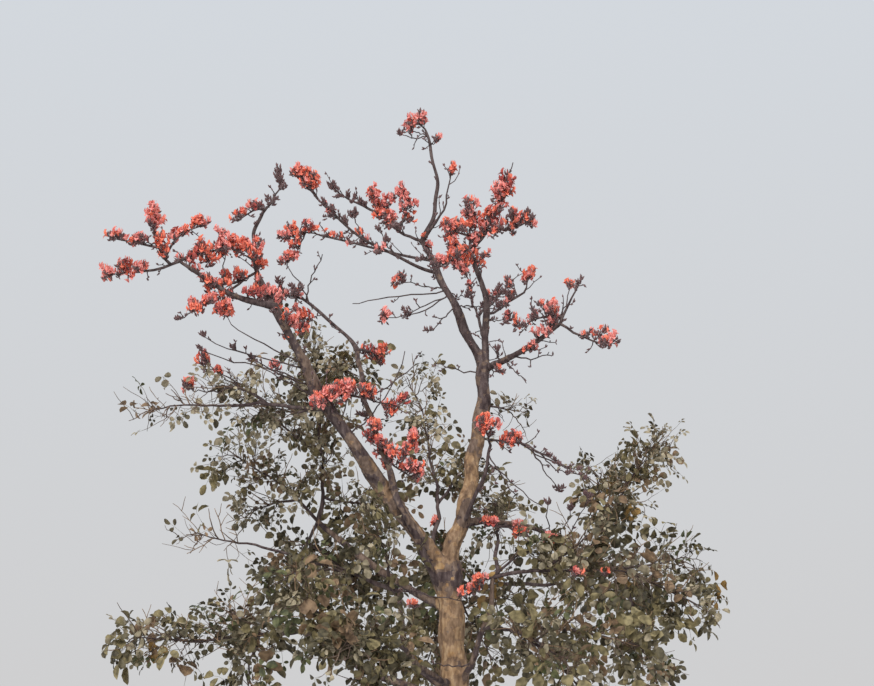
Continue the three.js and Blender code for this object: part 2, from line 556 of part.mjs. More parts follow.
function massSolid(mass, piecesOf, seed) {
  const ARM_SIDES = 3;
  const random = seeded(seed);
  const arms = armsOf(mass);
  const stems = (grow) => arms.map(({ curve, steps, radius }) => solidOf(
    limbGeometry({ curve, radius, sides: ARM_SIDES, steps }, grow),
  ));
  const stem = cutClear(wasm.Manifold.union(stems(0)));
  const others = [...placed.values()].map((other) => other.solid);
  const kept = [];
  for (const arm of arms) {
    for (const { whole, blade } of piecesOf(arm, random)) {
      const clear = standsClear(whole, others, KEEP_CLEAR)
        && standsClear(whole, kept, OWN_GAP)
        && (!blade || standsClear(blade, [stem], OWN_GAP));
      if (clear) kept.push(whole);
    }
  }
  const solid = wholeBody(wasm.Manifold.union([stem, ...kept]));
  return { solid, clearing: wasm.Manifold.union(stems(CLEARANCE)) };
}

const tree = new THREE.Group();
tree.name = 'flame_of_the_forest';

function addMesh(name, solid, look) {
  const mesh = new THREE.Mesh(geometryOf(solid), new THREE.MeshStandardMaterial(look));
  mesh.name = name;
  tree.add(mesh);
}

// The trunk's own line, which its boughs leave from.
const trunkLine = new THREE.CatmullRomCurve3([0, 0.25, 0.5, 0.75, 1].map((share) => {
  const height = share * FORK_HEIGHT;
  return new THREE.Vector3(trunkLean(height), 0, height);
}));
placed.set('trunk', {
  solid: solidOf(trunkGeometry()),
  clearing: solidOf(trunkGeometry(CLEARANCE)),
  curve: trunkLine,
  tip: TRUNK_RADIUS_FORK,
});
addMesh('trunk', placed.get('trunk').solid, BARK);

function limbSides(radius) {
  if (radius > THICK_BOUGH) return 10;
  return radius > SMALL_BRANCH ? 7 : 6;
}

const FEWEST_STEPS = 4;
for (const { name, on, at, to, bow, radius } of LIMBS) {
  const curve = bowed(placed.get(on).curve.getPoint(at), vector(to), bow);
  const shape = {
    curve,
    radius,
    sides: limbSides(radius[0]),
    steps: Math.max(FEWEST_STEPS, Math.round(curve.getLength() / LIMB_STEP)),
    collar: COLLAR,
  };
  const solid = cutClear(solidOf(limbGeometry(shape)));
  placed.set(name, { solid, clearing: solidOf(limbGeometry(shape, CLEARANCE)), curve, tip: radius[1] });
  addMesh(name, solid, BARK);
}

const kinds = [[BLOOMS, bloomPieces, BLOSSOM], [LEAFY, leafPieces, FOLIAGE]];
let seed = 1;
for (const [masses, piecesOf, look] of kinds) {
  for (const mass of masses) {
    const { solid, clearing } = massSolid(mass, piecesOf, seed);
    placed.set(mass.name, { solid, clearing });
    addMesh(mass.name, solid, look);
    seed += 1;
  }
}

export default tree;
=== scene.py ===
"""Flame of the forest (Butea monosperma): the looks of a whole tree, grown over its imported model.

Metres, +Z up, +X to the right of the front view, +Y away from it. Trunk and boughs get one skin with the
relief of bark. Each mass of the model is grown again by the source's seeded rule and carried on to finer
twigs, with leaves of three leaflets or with racemes of flowers.
"""

import json
import math
from collections import namedtuple

import bmesh
import bpy
import numpy as np
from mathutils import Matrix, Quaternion, Vector, noise
from mathutils.kdtree import KDTree

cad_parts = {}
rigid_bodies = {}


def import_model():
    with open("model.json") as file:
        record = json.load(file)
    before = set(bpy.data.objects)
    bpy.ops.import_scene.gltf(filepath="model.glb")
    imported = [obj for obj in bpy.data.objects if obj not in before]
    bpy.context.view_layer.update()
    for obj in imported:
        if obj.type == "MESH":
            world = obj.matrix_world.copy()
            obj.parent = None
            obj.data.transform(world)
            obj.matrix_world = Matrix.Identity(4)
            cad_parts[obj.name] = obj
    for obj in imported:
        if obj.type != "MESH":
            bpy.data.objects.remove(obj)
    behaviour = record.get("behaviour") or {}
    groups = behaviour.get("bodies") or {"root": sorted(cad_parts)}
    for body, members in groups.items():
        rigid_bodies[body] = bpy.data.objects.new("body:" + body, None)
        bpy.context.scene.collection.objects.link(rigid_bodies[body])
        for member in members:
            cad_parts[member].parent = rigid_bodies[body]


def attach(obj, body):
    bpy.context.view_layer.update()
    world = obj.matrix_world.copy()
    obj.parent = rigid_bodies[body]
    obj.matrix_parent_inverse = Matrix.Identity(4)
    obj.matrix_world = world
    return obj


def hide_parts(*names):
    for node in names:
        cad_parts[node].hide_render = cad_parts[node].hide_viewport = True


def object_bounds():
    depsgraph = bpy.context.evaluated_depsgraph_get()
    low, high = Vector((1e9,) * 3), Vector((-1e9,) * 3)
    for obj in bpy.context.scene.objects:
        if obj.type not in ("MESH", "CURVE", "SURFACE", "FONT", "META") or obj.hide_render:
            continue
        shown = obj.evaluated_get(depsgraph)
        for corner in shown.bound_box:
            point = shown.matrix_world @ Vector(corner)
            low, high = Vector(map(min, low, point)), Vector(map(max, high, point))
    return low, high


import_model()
cad_low, cad_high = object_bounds()

# The trunk, as in the model
FORK_HEIGHT = 3.53
TRUNK_LEAN = 0.26
LEAN_POWER = 1.3
TRUNK_RADIUS_FOOT = 0.205
TRUNK_RADIUS_FORK = 0.135
ROOT_FLARE = 0.15
ROOT_FLARE_HEIGHT = 0.26
ROOT_LOBES = 5
ROOT_LOBE_DEPTH = 0.38
ROOT_TURN = 0.6
FORK_WIDENING = 0.5
FORK_WIDENING_START = 3.0
CROTCH = 0.11

# The rule by which limbs and masses grow, as in the model
COLLAR = 0.3
LEAF_LENGTH = 0.34
LEAF_DROOP = 0.9
LEAF_TILT = 1
ARM_RADIUS = 0.015
ARM_TAPER = 0.006
TWIG_SPACING = 0.205
SHORTEST_TWIG = 0.05
HEAD_SPACING = 2
HEAD_LENGTH = 1.45
STATION_TURN = 0.5
STATION_SIZE = (0.75, 1.1)
STATION_LEAN = (0.7, 1.15)
GOLDEN_ANGLE = math.pi * (3 - math.sqrt(5))
TURN = 2 * math.pi
UP = Vector((0, 0, 1))

Limb = namedtuple("Limb", "on at to bow radius")
Arm = namedtuple("Arm", "to bow spread start parent at radius", defaults=(None, 1, None))
Mass = namedtuple("Mass", "on at arms")
Sprig = namedtuple("Sprig", "on at to open length", defaults=(None, 0))

# Each limb grows on another, at a share of that limb's length, to its own end. radius is at base and tip.
LIMBS = {
    "left_bough": Limb("trunk", 0.97, (-1.78, -0.5, 5.47), (0.06, 0.04, -0.12), (0.104, 0.08)),
    "right_bough": Limb("trunk", 0.97, (0.23, 0.25, 5.98), (0.09, 0, 0), (0.102, 0.084)),
    "left_bough_upper": Limb("left_bough", 1, (-2.28, -0.85, 6.45), (0.03, 0, 0.02), (0.074, 0.05)),
    "left_reach": Limb("left_bough_upper", 1, (-3.35, -1.3, 6.89), (-0.03, 0, -0.06), (0.044, 0.024)),
    "left_spire": Limb("left_bough_upper", 0.97, (-2.51, -0.4, 7.74), (-0.17, 0, -0.02), (0.034, 0.02)),
    "inner_left_bough": Limb("trunk", 0.86, (-1.35, 0.1, 6.15), (-0.16, -0.38, 0), (0.046, 0.032)),
    "inner_left_arm": Limb("inner_left_bough", 1, (-2.08, 0.7, 6.95), (0.05, 0, 0.03), (0.028, 0.018)),
    "crown_bough": Limb("right_bough", 1, (-0.52, 0.48, 7.68), (-0.03, 0, 0), (0.062, 0.038)),
    "middle_bough": Limb("right_bough", 1, (0.05, -0.25, 7.34), (0.1, 0.06, 0), (0.05, 0.032)),
    "right_arm": Limb("right_bough", 0.98, (1.13, -0.7, 6.31), (0, 0, -0.05), (0.046, 0.026)),
    "leader": Limb("crown_bough", 1, (-0.51, 0.6, 9.21), (0.15, 0, 0), (0.03, 0.016)),
    "crown_arm_upper": Limb("crown_bough", 0.74, (-1.79, -0.2, 7.92), (-0.06, 0, -0.09), (0.022, 0.014)),
    "crown_arm_lower": Limb("crown_bough", 0.84, (-1.9, 1.45, 8.03), (0, 0, -0.02), (0.02, 0.012)),
    "right_low_bough": Limb("right_bough", 0.22, (1.5, 1.0, 3.65), (0.06, 0, 0.19), (0.046, 0.028)),
    "right_side_branch": Limb("right_bough", 0.2, (0.31, -0.26, 4.89), (0.03, -0.06, -0.02), (0.03, 0.018)),
    "left_low_bough": Limb("trunk", 0.58, (-0.78, -0.45, 3.15), (-0.18, -0.05, -0.23), (0.046, 0.032)),
    "left_rear_bough": Limb("trunk", 0.84, (-1.83, 0.9, 4.14), (-0.05, 0, -0.08), (0.058, 0.036)),
    "left_far_bough": Limb("trunk", 0.54, (-1.96, -0.3, 2.71), (0, 0, -0.12), (0.054, 0.032)),
    "front_bough": Limb("trunk", 0.6, (-0.71, -1.2, 2.44), (-0.06, 0, -0.08), (0.05, 0.03)),
    "right_front_bough": Limb("trunk", 0.57, (0.3, -0.48, 3.3), (0.06, -0.12, -0.06), (0.044, 0.03)),
    "rear_bough": Limb("trunk", 0.86, (-0.13, 0.9, 3.3), (0, 0, -0.07), (0.054, 0.034)),
}

# Limbs of the upper crown, which bear bare spurs with buds
SPURRED = ["left_bough_upper", "left_reach", "left_spire", "inner_left_arm", "crown_bough", "middle_bough",
           "right_arm", "leader", "crown_arm_upper", "crown_arm_lower", "right_side_branch"]

# Limbs that also bear small racemes themselves: from and to which share of their length, and the share of
# open flowers
FLOWERING = {
    "left_bough_upper": (0.55, 1, 0.6), "left_reach": (0.1, 1, 0.7), "left_spire": (0, 0.5, 0.6),
    "inner_left_bough": (0.5, 0.66, 0.7), "crown_arm_upper": (0.4, 1, 0.1), "crown_arm_lower": (0.6, 1, 0.2),
    "right_arm": (0.5, 1, 0.7), "middle_bough": (0.75, 1, 0.6), "crown_bough": (0.75, 1, 0.3),
}

# Thin twigs, each from a share of a limb's length, or of an arm's, to its own end with a cluster of flowers
# and buds. open is the share of open flowers in it, and length is the cluster's own. One without is bare.
SPRIGS = [
    Sprig("crown_bough", 0.62, (-0.78, 0.2, 7.04), 0.3, 0.14),
    Sprig("crown_bough", 0.6, (-1.43, 0.3, 6.8)),
    Sprig("crown_bough", 0.56, (-0.68, 0.3, 6.67), 0, 0.12),
    Sprig("crown_bough", 0.57, (-0.97, 0.25, 6.58), 0.7, 0.13),
    Sprig("crown_bough", 0.45, (-0.43, 0.2, 6.42), 0, 0.08),
    Sprig("crown_bough", 0.58, (-0.02, 0.2, 6.85), 0.1, 0.12),
    Sprig("crown_bough", 0.45, (0.19, 0.2, 6.69), 0, 0.1),
    Sprig("middle_bough", 0.42, (0.48, -0.1, 6.46), 0.2, 0.12),
    Sprig("middle_bough", 0.6, (0.42, -0.1, 6.79), 0, 0.08),
    Sprig("right_arm", 0.35, (1.01, -0.35, 6.02)),
    Sprig("right_arm", 0.3, (0.69, -0.3, 5.69)),
    Sprig("right_arm", 0.08, (0.42, 0.0, 5.83), 0.1, 0.08),
    Sprig("right_arm", 0.93, (1.21, -0.6, 6.73), 0.5, 0.09),
    Sprig("right_arm", 0.2, (0.38, 0.0, 6.1), 0, 0.06),
    Sprig("crown_arm_upper", 0.86, (-1.7, -0.2, 7.76), 0.1, 0.11),
    Sprig("crown_arm_upper", 0.5, (-1.0, 0.1, 7.52), 0, 0.1),
    Sprig("crown_arm_upper", 0.75, (-1.51, 0.0, 7.73), 0, 0.08),
    Sprig("leader", 0.88, (-0.37, 0.55, 9.03), 0.5, 0.08),
    Sprig("leader", 0.96, (-0.83, 0.6, 9.17), 0, 0.05),
    Sprig("right_high_bloom 0", 0.9, (0.57, -0.35, 8.43)),
    Sprig("inner_left_arm", 0.95, (-1.85, 0.7, 7.56)),
    Sprig("inner_left_arm", 0.9, (-2.26, 0.6, 7.34)),
    Sprig("left_inner_bloom 1", 0.7, (-3.34, -1.35, 6.2), 0, 0.07),
    Sprig("left_bough_upper", 0.35, (-2.79, -1.2, 6.25), 0.8, 0.17),
    Sprig("left_bough_upper", 0.3, (-3.09, -0.9, 6.07), 0, 0.06),
    Sprig("left_bough_upper", 0.15, (-3.18, -0.8, 5.95), 0, 0.06),
    Sprig("left_bough_upper", 0.1, (-2.75, -0.7, 5.99), 0, 0.08),
    Sprig("left_bough_upper", 0.02, (-2.57, -0.4, 5.88), 0, 0.08),
    Sprig("left_top_leaves 1", 0.55, (-3.11, -0.6, 5.82), 0.6, 0.14),
    Sprig("left_top_leaves 1", 0.5, (-2.96, -0.55, 5.7), 0.5, 0.09),
    Sprig("left_top_leaves 1", 0.7, (-3.26, -0.65, 5.5), 0.5, 0.12),
    Sprig("left_bough", 0.9, (-2.29, -0.3, 5.83), 0.7, 0.1),
    Sprig("right_side_bloom 2", 0.3, (1.3, -0.5, 4.56), 0, 0.05),
    Sprig("right_side_branch", 0.9, (0.57, -0.3, 4.27)),
    Sprig("right_side_branch", 0.8, (0.87, -0.2, 4.19)),
    Sprig("left_low_bough", 1, (-0.06, -0.55, 3.05)),
    Sprig("right_front_bough", 0.6, (0.62, -0.7, 2.89)),
    Sprig("right_front_bough", 0.3, (-0.44, -0.5, 2.34)),
    Sprig("left_bough", 0.8, (-0.76, 0.0, 6.1)),
    Sprig("inner_left_bough", 0.8, (-0.53, 0.5, 6.24)),
    Sprig("right_bough", 0.95, (-0.42, 0.2, 6.07)),
    Sprig("left_spire", 0.5, (-2.87, -0.5, 7.39), 0, 0.1),
    Sprig("left_bough", 0.92, (-1.75, -0.7, 5.28), 0.9, 0.13),
    Sprig("left_bough", 0.86, (-1.6, -0.62, 5.36), 0.95, 0.14),
    Sprig("left_bough", 0.84, (-1.43, -0.55, 5.47), 0.95, 0.14),
    Sprig("shoulder_bloom 0", 0.7, (-1.14, -0.4, 5.46), 0.9, 0.12),
    Sprig("shoulder_bloom 0", 0.5, (-1.22, -0.1, 5.3), 0, 0.12),
    Sprig("inner_left_bough", 0.62, (-1.08, -0.42, 5.03), 0.7, 0.12),
    Sprig("inner_left_bough", 0.57, (-1.02, -0.42, 4.86), 0.7, 0.12),
    Sprig("inner_left_bough", 0.52, (-0.89, -0.42, 4.73), 0.6, 0.1),
    Sprig("right_mid_leaves 0", 0.5, (1.22, -1.1, 3.28), 0.7, 0.07),
    Sprig("right_mid_leaves 0", 0.7, (1.55, -1.1, 3.29), 0.6, 0.06),
    Sprig("rear_bough", 0.5, (-0.37, 0.2, 3.98), 0.5, 0.06),
    Sprig("left_low_leaves 2", 0.1, (-0.65, -0.8, 2.95), 0.6, 0.06),
    Sprig("right_side_bloom 2", 0.5, (1.17, -0.5, 4.53), 0, 0.07),
    Sprig("right_side_bloom 2", 0.9, (1.39, -0.4, 4.46), 0, 0.06),
    Sprig("right_side_bloom 2", 0.5, (1.11, -0.3, 4.37), 0, 0.09),
    Sprig("right_low_bough", 0.7, (0.93, -0.2, 4.19), 0, 0.07),
    Sprig("right_low_bough", 0.8, (1.46, -0.3, 4.23), 0, 0.08),
    Sprig("right_low_bough", 0.75, (1.27, 0.0, 4.13), 0, 0.08),
    Sprig("crown_arm_upper", 0.6, (-1.39, 0.0, 7.83), 0, 0.11),
    Sprig("crown_arm_upper", 0.35, (-1.07, 0.1, 7.66), 0, 0.08),
    Sprig("crown_bloom 0", 0.3, (-0.88, 0.3, 7.75), 0, 0.1),
    Sprig("left_core_bloom 0", 0.3, (-2.12, 0.2, 6.9), 0, 0.12),
    Sprig("left_core_bloom 0", 0.8, (-2.3, 0.1, 6.98), 0, 0.1),
    Sprig("leader", 0.96, (-0.7, 0.6, 9.22), 0.5, 0.13),
    Sprig("crown_arm_upper", 0.97, (-2.05, -0.3, 8.28), 0.9, 0.13),
    Sprig("crown_left_bloom 0", 0.4, (-1.93, -0.3, 8.12), 0.7, 0.11),
    Sprig("right_high_bloom 1", 0.5, (0.56, -0.5, 7.62), 0.1, 0.12),
    Sprig("right_high_bloom 1", 0.7, (0.73, -0.6, 7.64), 0, 0.1),
    Sprig("right_high_bloom 1", 0.3, (0.4, -0.5, 7.5), 0.2, 0.12),
    Sprig("crown_bough", 0.9, (-0.57, 0.3, 7.36), 0, 0.07),
    Sprig("middle_bough", 0.9, (0.2, -0.3, 7.2), 0.1, 0.1),
    Sprig("left_reach", 0.5, (-2.92, -0.98, 7.04), 0.9, 0.14),
    Sprig("left_end_bloom 1", 0.5, (-3.77, -1.5, 7.06), 0.7, 0.11),
]

# How full of open flowers or of leaves an arm is, by its mass and its number there. The others count as 1.
FULLNESS = {
    "left_end_bloom 2": 0.5, "left_spire_bloom 0": 0, "left_spire_bloom 1": 0.6, "left_core_bloom 0": 0.3,
    "left_ridge_bloom 0": 1.2, "crown_bloom 2": 0, "side_bloom 0": 0.6, "right_high_bloom 1": 0.5,
    "right_mid_bloom 0": 0.1, "right_mid_bloom 1": 0.8, "right_arm_bloom 0": 0, "right_arm_bloom 1": 0.6,
    "right_tip_bloom 0": 0.6, "right_side_bloom 2": 0, "shoulder_bloom 0": 1.25, "back_bloom 2": 0.2,
    "left_top_leaves 0": 0.25, "left_top_leaves 1": 0.6, "left_low_leaves 0": 0.12,
    "left_mid_leaves 1": 0.6, "left_back_leaves 0": 1.5, "left_back_leaves 1": 1.3,
    "left_back_leaves 3": 1.8, "left_foot_leaves 1": 0.45, "centre_leaves 0": 0.9, "centre_leaves 1": 0.9,
    "right_inner_leaves 1": 0.7, "front_leaves 0": 1.3, "front_leaves 1": 1.3,
    "left_behind_leaves 1": 1.4, "right_small_leaves 0": 0.5, "right_high_leaves 0": 1.5,
    "right_high_leaves 1": 1.4, "right_mid_leaves 0": 0.7, "right_mid_leaves 1": 0.8,
    "right_foot_leaves 1": 0.8, "right_far_leaves 0": 0.8, "right_back_leaves 0": 0.7,
    "right_back_leaves 1": 0.6, "back_leaves 1": 0.7,
}

# Masses of blossom. An arm leaves the limb, or the share "at" of its parent among the earlier arms, and
# carries blossom from the share "start" onward. spread is how far that stands out from the arm.
BLOOMS = {
    "left_end_bloom": Mass("left_reach", 1, [
        Arm((-4.2, -1.25, 6.74), (0, 0, -0.04), 0.1, 0.4),
        Arm((-3.67, -1.4, 7.44), (-0.04, 0, -0.06), 0.15, 0.1, 0, 0.12),
        Arm((-4.08, -1.6, 7.08), (0, 0, -0.02), 0.09, 0.3, 1, 0.45),
        Arm((-3.13, -1.1, 7.38), (-0.06, 0, 0.06), 0.1, 0.35, 1, 0.2),
    ]),
    "left_ridge_bloom": Mass("left_reach", 1, [
        Arm((-2.55, -0.82, 7.18), (0, 0, 0.06), 0.15, 0.1),
    ]),
    "left_spire_bloom": Mass("left_spire", 1, [
        Arm((-2.3, -0.3, 8.31), (0.04, 0, -0.03), 0.12, 0.05),
        Arm((-2.75, -0.6, 7.6), (0, 0, 0.05), 0.09, 0.1, 0, 0.1),
    ]),
    "left_inner_bloom": Mass("left_spire", 0.4, [
        Arm((-3.06, -0.9, 6.72), (0, 0, -0.03), 0.1, 0.2),
        Arm((-3.17, -1.35, 6.28), (0, 0, -0.04), 0.11, 0.6, 0, 0.3),
    ]),
    "left_core_bloom": Mass("inner_left_arm", 1, [
        Arm((-2.5, 0.1, 6.83), (0, 0, 0.02), 0.1, 0.05),
        Arm((-2.09, 0.3, 6.45), (0, 0, 0.04), 0.12, 0.4, 0, 0.15),
    ]),
    "far_bloom": Mass("crown_arm_lower", 1, [
        Arm((-2.38, 1.6, 8.03), (0, 0, 0.08), 0.13, 0.05),
        Arm((-2.4, 1.65, 7.73), (0.06, 0, 0), 0.11, 0.3, 0, 0.45),
    ]),
    "crown_left_bloom": Mass("crown_arm_upper", 1, [
        Arm((-1.94, -0.26, 8.2), (-0.02, 0, 0), 0.2, 0.2),
    ]),
    "crown_bloom": Mass("crown_bough", 1, [
        Arm((-1.19, 0.9, 8.33), (-0.06, 0, -0.08), 0.2, 0.3),
        Arm((-0.79, 0.6, 8.34), (0.04, 0, 0), 0.14, 0.2, 0, 0.4),
        Arm((-1.78, 0.8, 8.51), (0, 0, -0.03), 0.075, 0.3, 0, 0.75),
    ]),
    "leader_bloom": Mass("leader", 1, [
        Arm((-0.61, 0.6, 9.33), (0.02, 0, 0), 0.14, 0.2),
    ]),
    "side_bloom": Mass("crown_bough", 1, [
        Arm((-0.19, 0.2, 8.53), (0.06, -0.06, -0.08), 0.09, 0.88),
    ]),
    "middle_bloom": Mass("middle_bough", 1, [
        Arm((0.09, -0.36, 7.77), (-0.02, 0, 0), 0.21, 0.1),
        Arm((-0.3, -0.5, 7.09), (0, 0, -0.02), 0.15, 0.2, 0, 0.1),
        Arm((-0.2, -0.6, 7.5), (0, 0, 0), 0.13, 0.3, 0, 0.4),
    ]),
    "right_high_bloom": Mass("middle_bough", 1, [
        Arm((0.5, -0.35, 8.13), (0.06, 0, -0.06), 0.16, 0.15),
        Arm((0.78, -0.6, 7.59), (0, 0, -0.04), 0.11, 0.15, 0, 0.35),
    ]),
    "right_mid_bloom": Mass("middle_bough", 0.45, [
        Arm((0.59, 0.3, 6.88), (0, 0, -0.04), 0.09, 0.35),
        Arm((0.84, 0.5, 7.2), (0.06, 0, -0.02), 0.09, 0.6, 0, 0.9),
    ]),
    "right_arm_bloom": Mass("right_arm", 1, [
        Arm((1.35, -0.8, 6.8), (-0.03, 0, 0), 0.06, 0.7),
        Arm((0.69, -0.43, 6.31), (0, -0.06, 0.05), 0.16, 0.05, 0, 0.15),
    ]),
    "right_tip_bloom": Mass("right_arm", 1, [
        Arm((1.63, -1.0, 5.97), (0, 0, -0.04), 0.17, 0.4),
    ]),
    "shoulder_bloom": Mass("left_bough", 1, [
        Arm((-0.8, -0.26, 5.38), (0, -0.06, 0.03), 0.15, 0.05),
    ]),
    "inner_bloom": Mass("inner_left_bough", 1, [
        Arm((-1.08, 0.6, 6.1), (0, 0, 0.06), 0.13, 0.3),
    ]),
    "gap_bloom": Mass("inner_left_bough", 0.6, [
        Arm((-0.6, -0.1, 4.51), (-0.06, 0, -0.06), 0.13, 0.1),
        Arm((-0.64, -0.1, 4.97), (0, 0, 0), 0.11, 0.2, 0, 0.6),
    ]),
    "right_side_bloom": Mass("right_side_branch", 1, [
        Arm((0.24, -0.45, 5.08), (0, 0, 0), 0.16, 0.3),
        Arm((0.56, -0.42, 4.86), (0, 0, 0.02), 0.13, 0.4, 0, 0.3),
        Arm((1.09, -0.6, 4.64), (0, 0, 0.06), 0.05, 0.7, 1, 0.7),
    ]),
    "low_bloom": Mass("right_front_bough", 1, [
        Arm((-0.01, -0.62, 3.11), (0, 0, 0.05), 0.11, 0.2),
    ]),
    "right_low_bloom": Mass("right_low_bough", 0.3, [
        Arm((0.64, 0.25, 3.9), (0, 0, 0), 0.11, 0.4),
        Arm((0.24, 0.1, 3.97), (0, 0, 0), 0.08, 0.6, 0, 0.3),
        Arm((1.04, 0.15, 3.77), (0, 0, 0), 0.07, 0.7, 0, 0.9),
    ]),
    "back_bloom": Mass("right_bough", 1, [
        Arm((-0.02, 1.5, 7.68), (0.1, 0.15, -0.15), 0.15, 0.8, None, 1, 0.032),
        Arm((-0.18, 1.8, 8.24), (0, 0, 0), 0.17, 0.1, 0, 0.97),
        Arm((0.6, 1.9, 7.5), (0, 0, -0.06), 0.13, 0.4, 0, 0.6),
    ]),
}

# Masses of leaves: the same kind of arms, with twigs that carry leaves.
LEAFY = {
    "left_top_leaves": Mass("left_bough", 0.93, [
        Arm((-3.7, -1.1, 5.18), (0, 0, 0.06), 0.2, 0.66),
        Arm((-2.95, -0.6, 5.57), (0, 0, 0.06), 0.28, 0.2, 0, 0.35),
        Arm((-2.46, -0.3, 5.4), (0, 0, -0.06), 0.33, 0.2, 0, 0.1),
    ]),
    "left_mid_leaves": Mass("left_rear_bough", 1, [
        Arm((-2.8, 0.2, 4.83), (0, 0, 0.08), 0.37, 0.25),
        Arm((-2.7, 0.7, 4.25), (0, 0, 0), 0.37, 0.2, 0, 0.25),
    ]),
    "left_back_leaves": Mass("left_rear_bough", 1, [
        Arm((-1.96, 0.9, 6.25), (0.06, 0.1, 0), 0.38, 0.2),
        Arm((-1.16, 1.5, 4.45), (0, 0, -0.06), 0.4, 0.2, 0, 0.15),
        Arm((-2.7, 0.5, 5.65), (0, 0, -0.06), 0.35, 0.3, 0, 0.4),
        Arm((-1.54, 1.0, 6.12), (0, 0, 0), 0.2, 0.3, 0, 0.8),
    ]),
    "centre_leaves": Mass("left_bough", 0.12, [
        Arm((-0.67, 1.05, 5.86), (0.16, -0.1, -0.15), 0.3, 0.45),
        Arm((0.05, 1.0, 4.85), (0, 0, 0), 0.3, 0.3, 0, 0.35),
    ]),
    "left_low_leaves": Mass("left_low_bough", 1, [
        Arm((-3.12, -1.0, 3.76), (0, 0, 0.06), 0.3, 0.75),
        Arm((-2.03, -0.9, 3.3), (0, 0, 0.06), 0.4, 0.1, 0, 0.2),
        Arm((-1.08, -0.8, 3.85), (0, 0, 0.06), 0.35, 0.2, 0, 0.05),
    ]),
    "left_foot_leaves": Mass("left_far_bough", 1, [
        Arm((-3.9, -0.3, 2.62), (0, 0, -0.06), 0.4, 0.1),
        Arm((-2.85, 0.4, 2.98), (0, 0, 0), 0.38, 0.2, 0, 0.3),
        Arm((-2.5, -0.8, 2.0), (0, 0, 0.06), 0.4, 0.2, 0, 0.25),
    ]),
    "left_behind_leaves": Mass("left_rear_bough", 1, [
        Arm((-2.36, 2.05, 3.47), (0, 0, -0.04), 0.43, 0.25),
        Arm((-1.19, 2.25, 3.38), (0, 0, 0), 0.43, 0.2, 0, 0.3),
    ]),
    "front_leaves": Mass("front_bough", 1, [
        Arm((-1.32, -2.35, 2.43), (0, 0, 0.1), 0.42, 0.1),
        Arm((-1.85, -1.7, 2.88), (0, 0, 0), 0.42, 0.25, 0, 0.2),
        Arm((-1.05, -1.9, 1.7), (0, 0, 0.06), 0.38, 0.3, 0, 0.3),
    ]),
    "back_leaves": Mass("rear_bough", 1, [
        Arm((-0.35, 2.3, 3.8), (0, 0, 0.06), 0.43, 0.1),
        Arm((0.74, 2.25, 3.2), (0, 0, 0), 0.43, 0.25, 0, 0.25),
        Arm((-0.5, 1.95, 2.35), (0, 0, 0.06), 0.4, 0.3, 0, 0.2),
        Arm((0.29, 1.55, 2.5), (0, 0, 0.06), 0.38, 0.2, 0, 0.1),
    ]),
    "right_inner_leaves": Mass("right_front_bough", 1, [
        Arm((0.77, -0.55, 3.59), (0, 0, 0.06), 0.32, 0.2),
        Arm((0.41, 1.3, 4.41), (0, 0, 0.06), 0.3, 0.45, 0, 0.1),
    ]),
    "right_mid_leaves": Mass("right_front_bough", 1, [
        Arm((1.95, -0.95, 3.29), (0, 0, 0.08), 0.4, 0.25),
        Arm((1.42, -0.6, 3.8), (0, 0, 0), 0.38, 0.25, 0, 0.35),
    ]),
    "right_foot_leaves": Mass("right_front_bough", 0.6, [
        Arm((0.95, -1.95, 2.35), (0, 0, 0.1), 0.42, 0.3),
        Arm((1.86, -1.5, 2.48), (0, 0, 0.06), 0.42, 0.2, 0, 0.4),
        Arm((1.45, -1.45, 1.75), (0, 0, 0.06), 0.38, 0.3, 0, 0.5),
    ]),
    "right_high_leaves": Mass("right_low_bough", 1, [
        Arm((2.34, 0.8, 5.05), (-0.06, 0, -0.06), 0.4, 0.25),
        Arm((1.7, 1.3, 4.7), (0, 0, 0), 0.33, 0.3, 0, 0.4),
    ]),
    "right_far_leaves": Mass("right_low_bough", 1, [
        Arm((2.85, 0.3, 3.0), (0, 0, 0.06), 0.4, 0.15),
        Arm((2.7, 0.7, 3.65), (0, 0, 0), 0.38, 0.2, 0, 0.3),
        Arm((2.35, 0.5, 2.2), (0, 0, 0.06), 0.38, 0.3, 0, 0.25),
    ]),
    "right_small_leaves": Mass("right_bough", 0.78, [
        Arm((0.56, 0.28, 5.39), (0, 0, 0.06), 0.2, 0.3),
    ]),
    "right_back_leaves": Mass("rear_bough", 1, [
        Arm((2.25, 2.1, 3.37), (0.2, 0, 0.06), 0.43, 0.35),
        Arm((1.5, 2.2, 3.9), (0, 0, 0), 0.4, 0.25, 0, 0.55),
    ]),
}

# Sizes of what is finer than the model
VOXEL = 0.015  # of the skin
SKIN_RADIUS = 0.04  # limbs that start thicker than this are under the skin, and the rest are tubes
FISSURE_DEPTH = 0.008
FISSURE_WIDTH = 0.032
FISSURE_LENGTH = 0.13
LUMP_SIZE = 0.24
LUMP_HEIGHT = 0.014
KNOT_SPACING = 0.33
KNOT_RADIUS = 0.07
KNOT_HEIGHT = 0.02
CROOK = 0.014  # how far the limbs stray to either side of their curves
ARM_TIP = 0.006
TWIG_RADIUS = 0.009
FINE_RADIUS = 0.0048
SPRIG_RADIUS = (0.0105, 0.0055)  # at its base and its tip, as for the spurs
SPUR_RADIUS = (0.007, 0.0045)
PETIOLE_RADIUS = 0.0019
PETIOLE = (0.05, 0.11)
LEAFLET = (0.051, 0.124)
LOW_LEAFLET = 1.25  # leaves at the bottom of the crown are larger by this
OLD_LEAFLET = {"olive": 1.35, "brown": 1.35, "ochre": 1.2}  # and so are the older ones, by their tint
LEAFINESS = 0.8  # share of the side twigs that carry leaves
BARE_TWIG_SPACING = 0.16
FLOWER = 0.08
OPEN = 0.74  # share of the flowers that are open
KEPT_INSIDE = 0.07  # twigs and leaves may reach this far out of the model's box
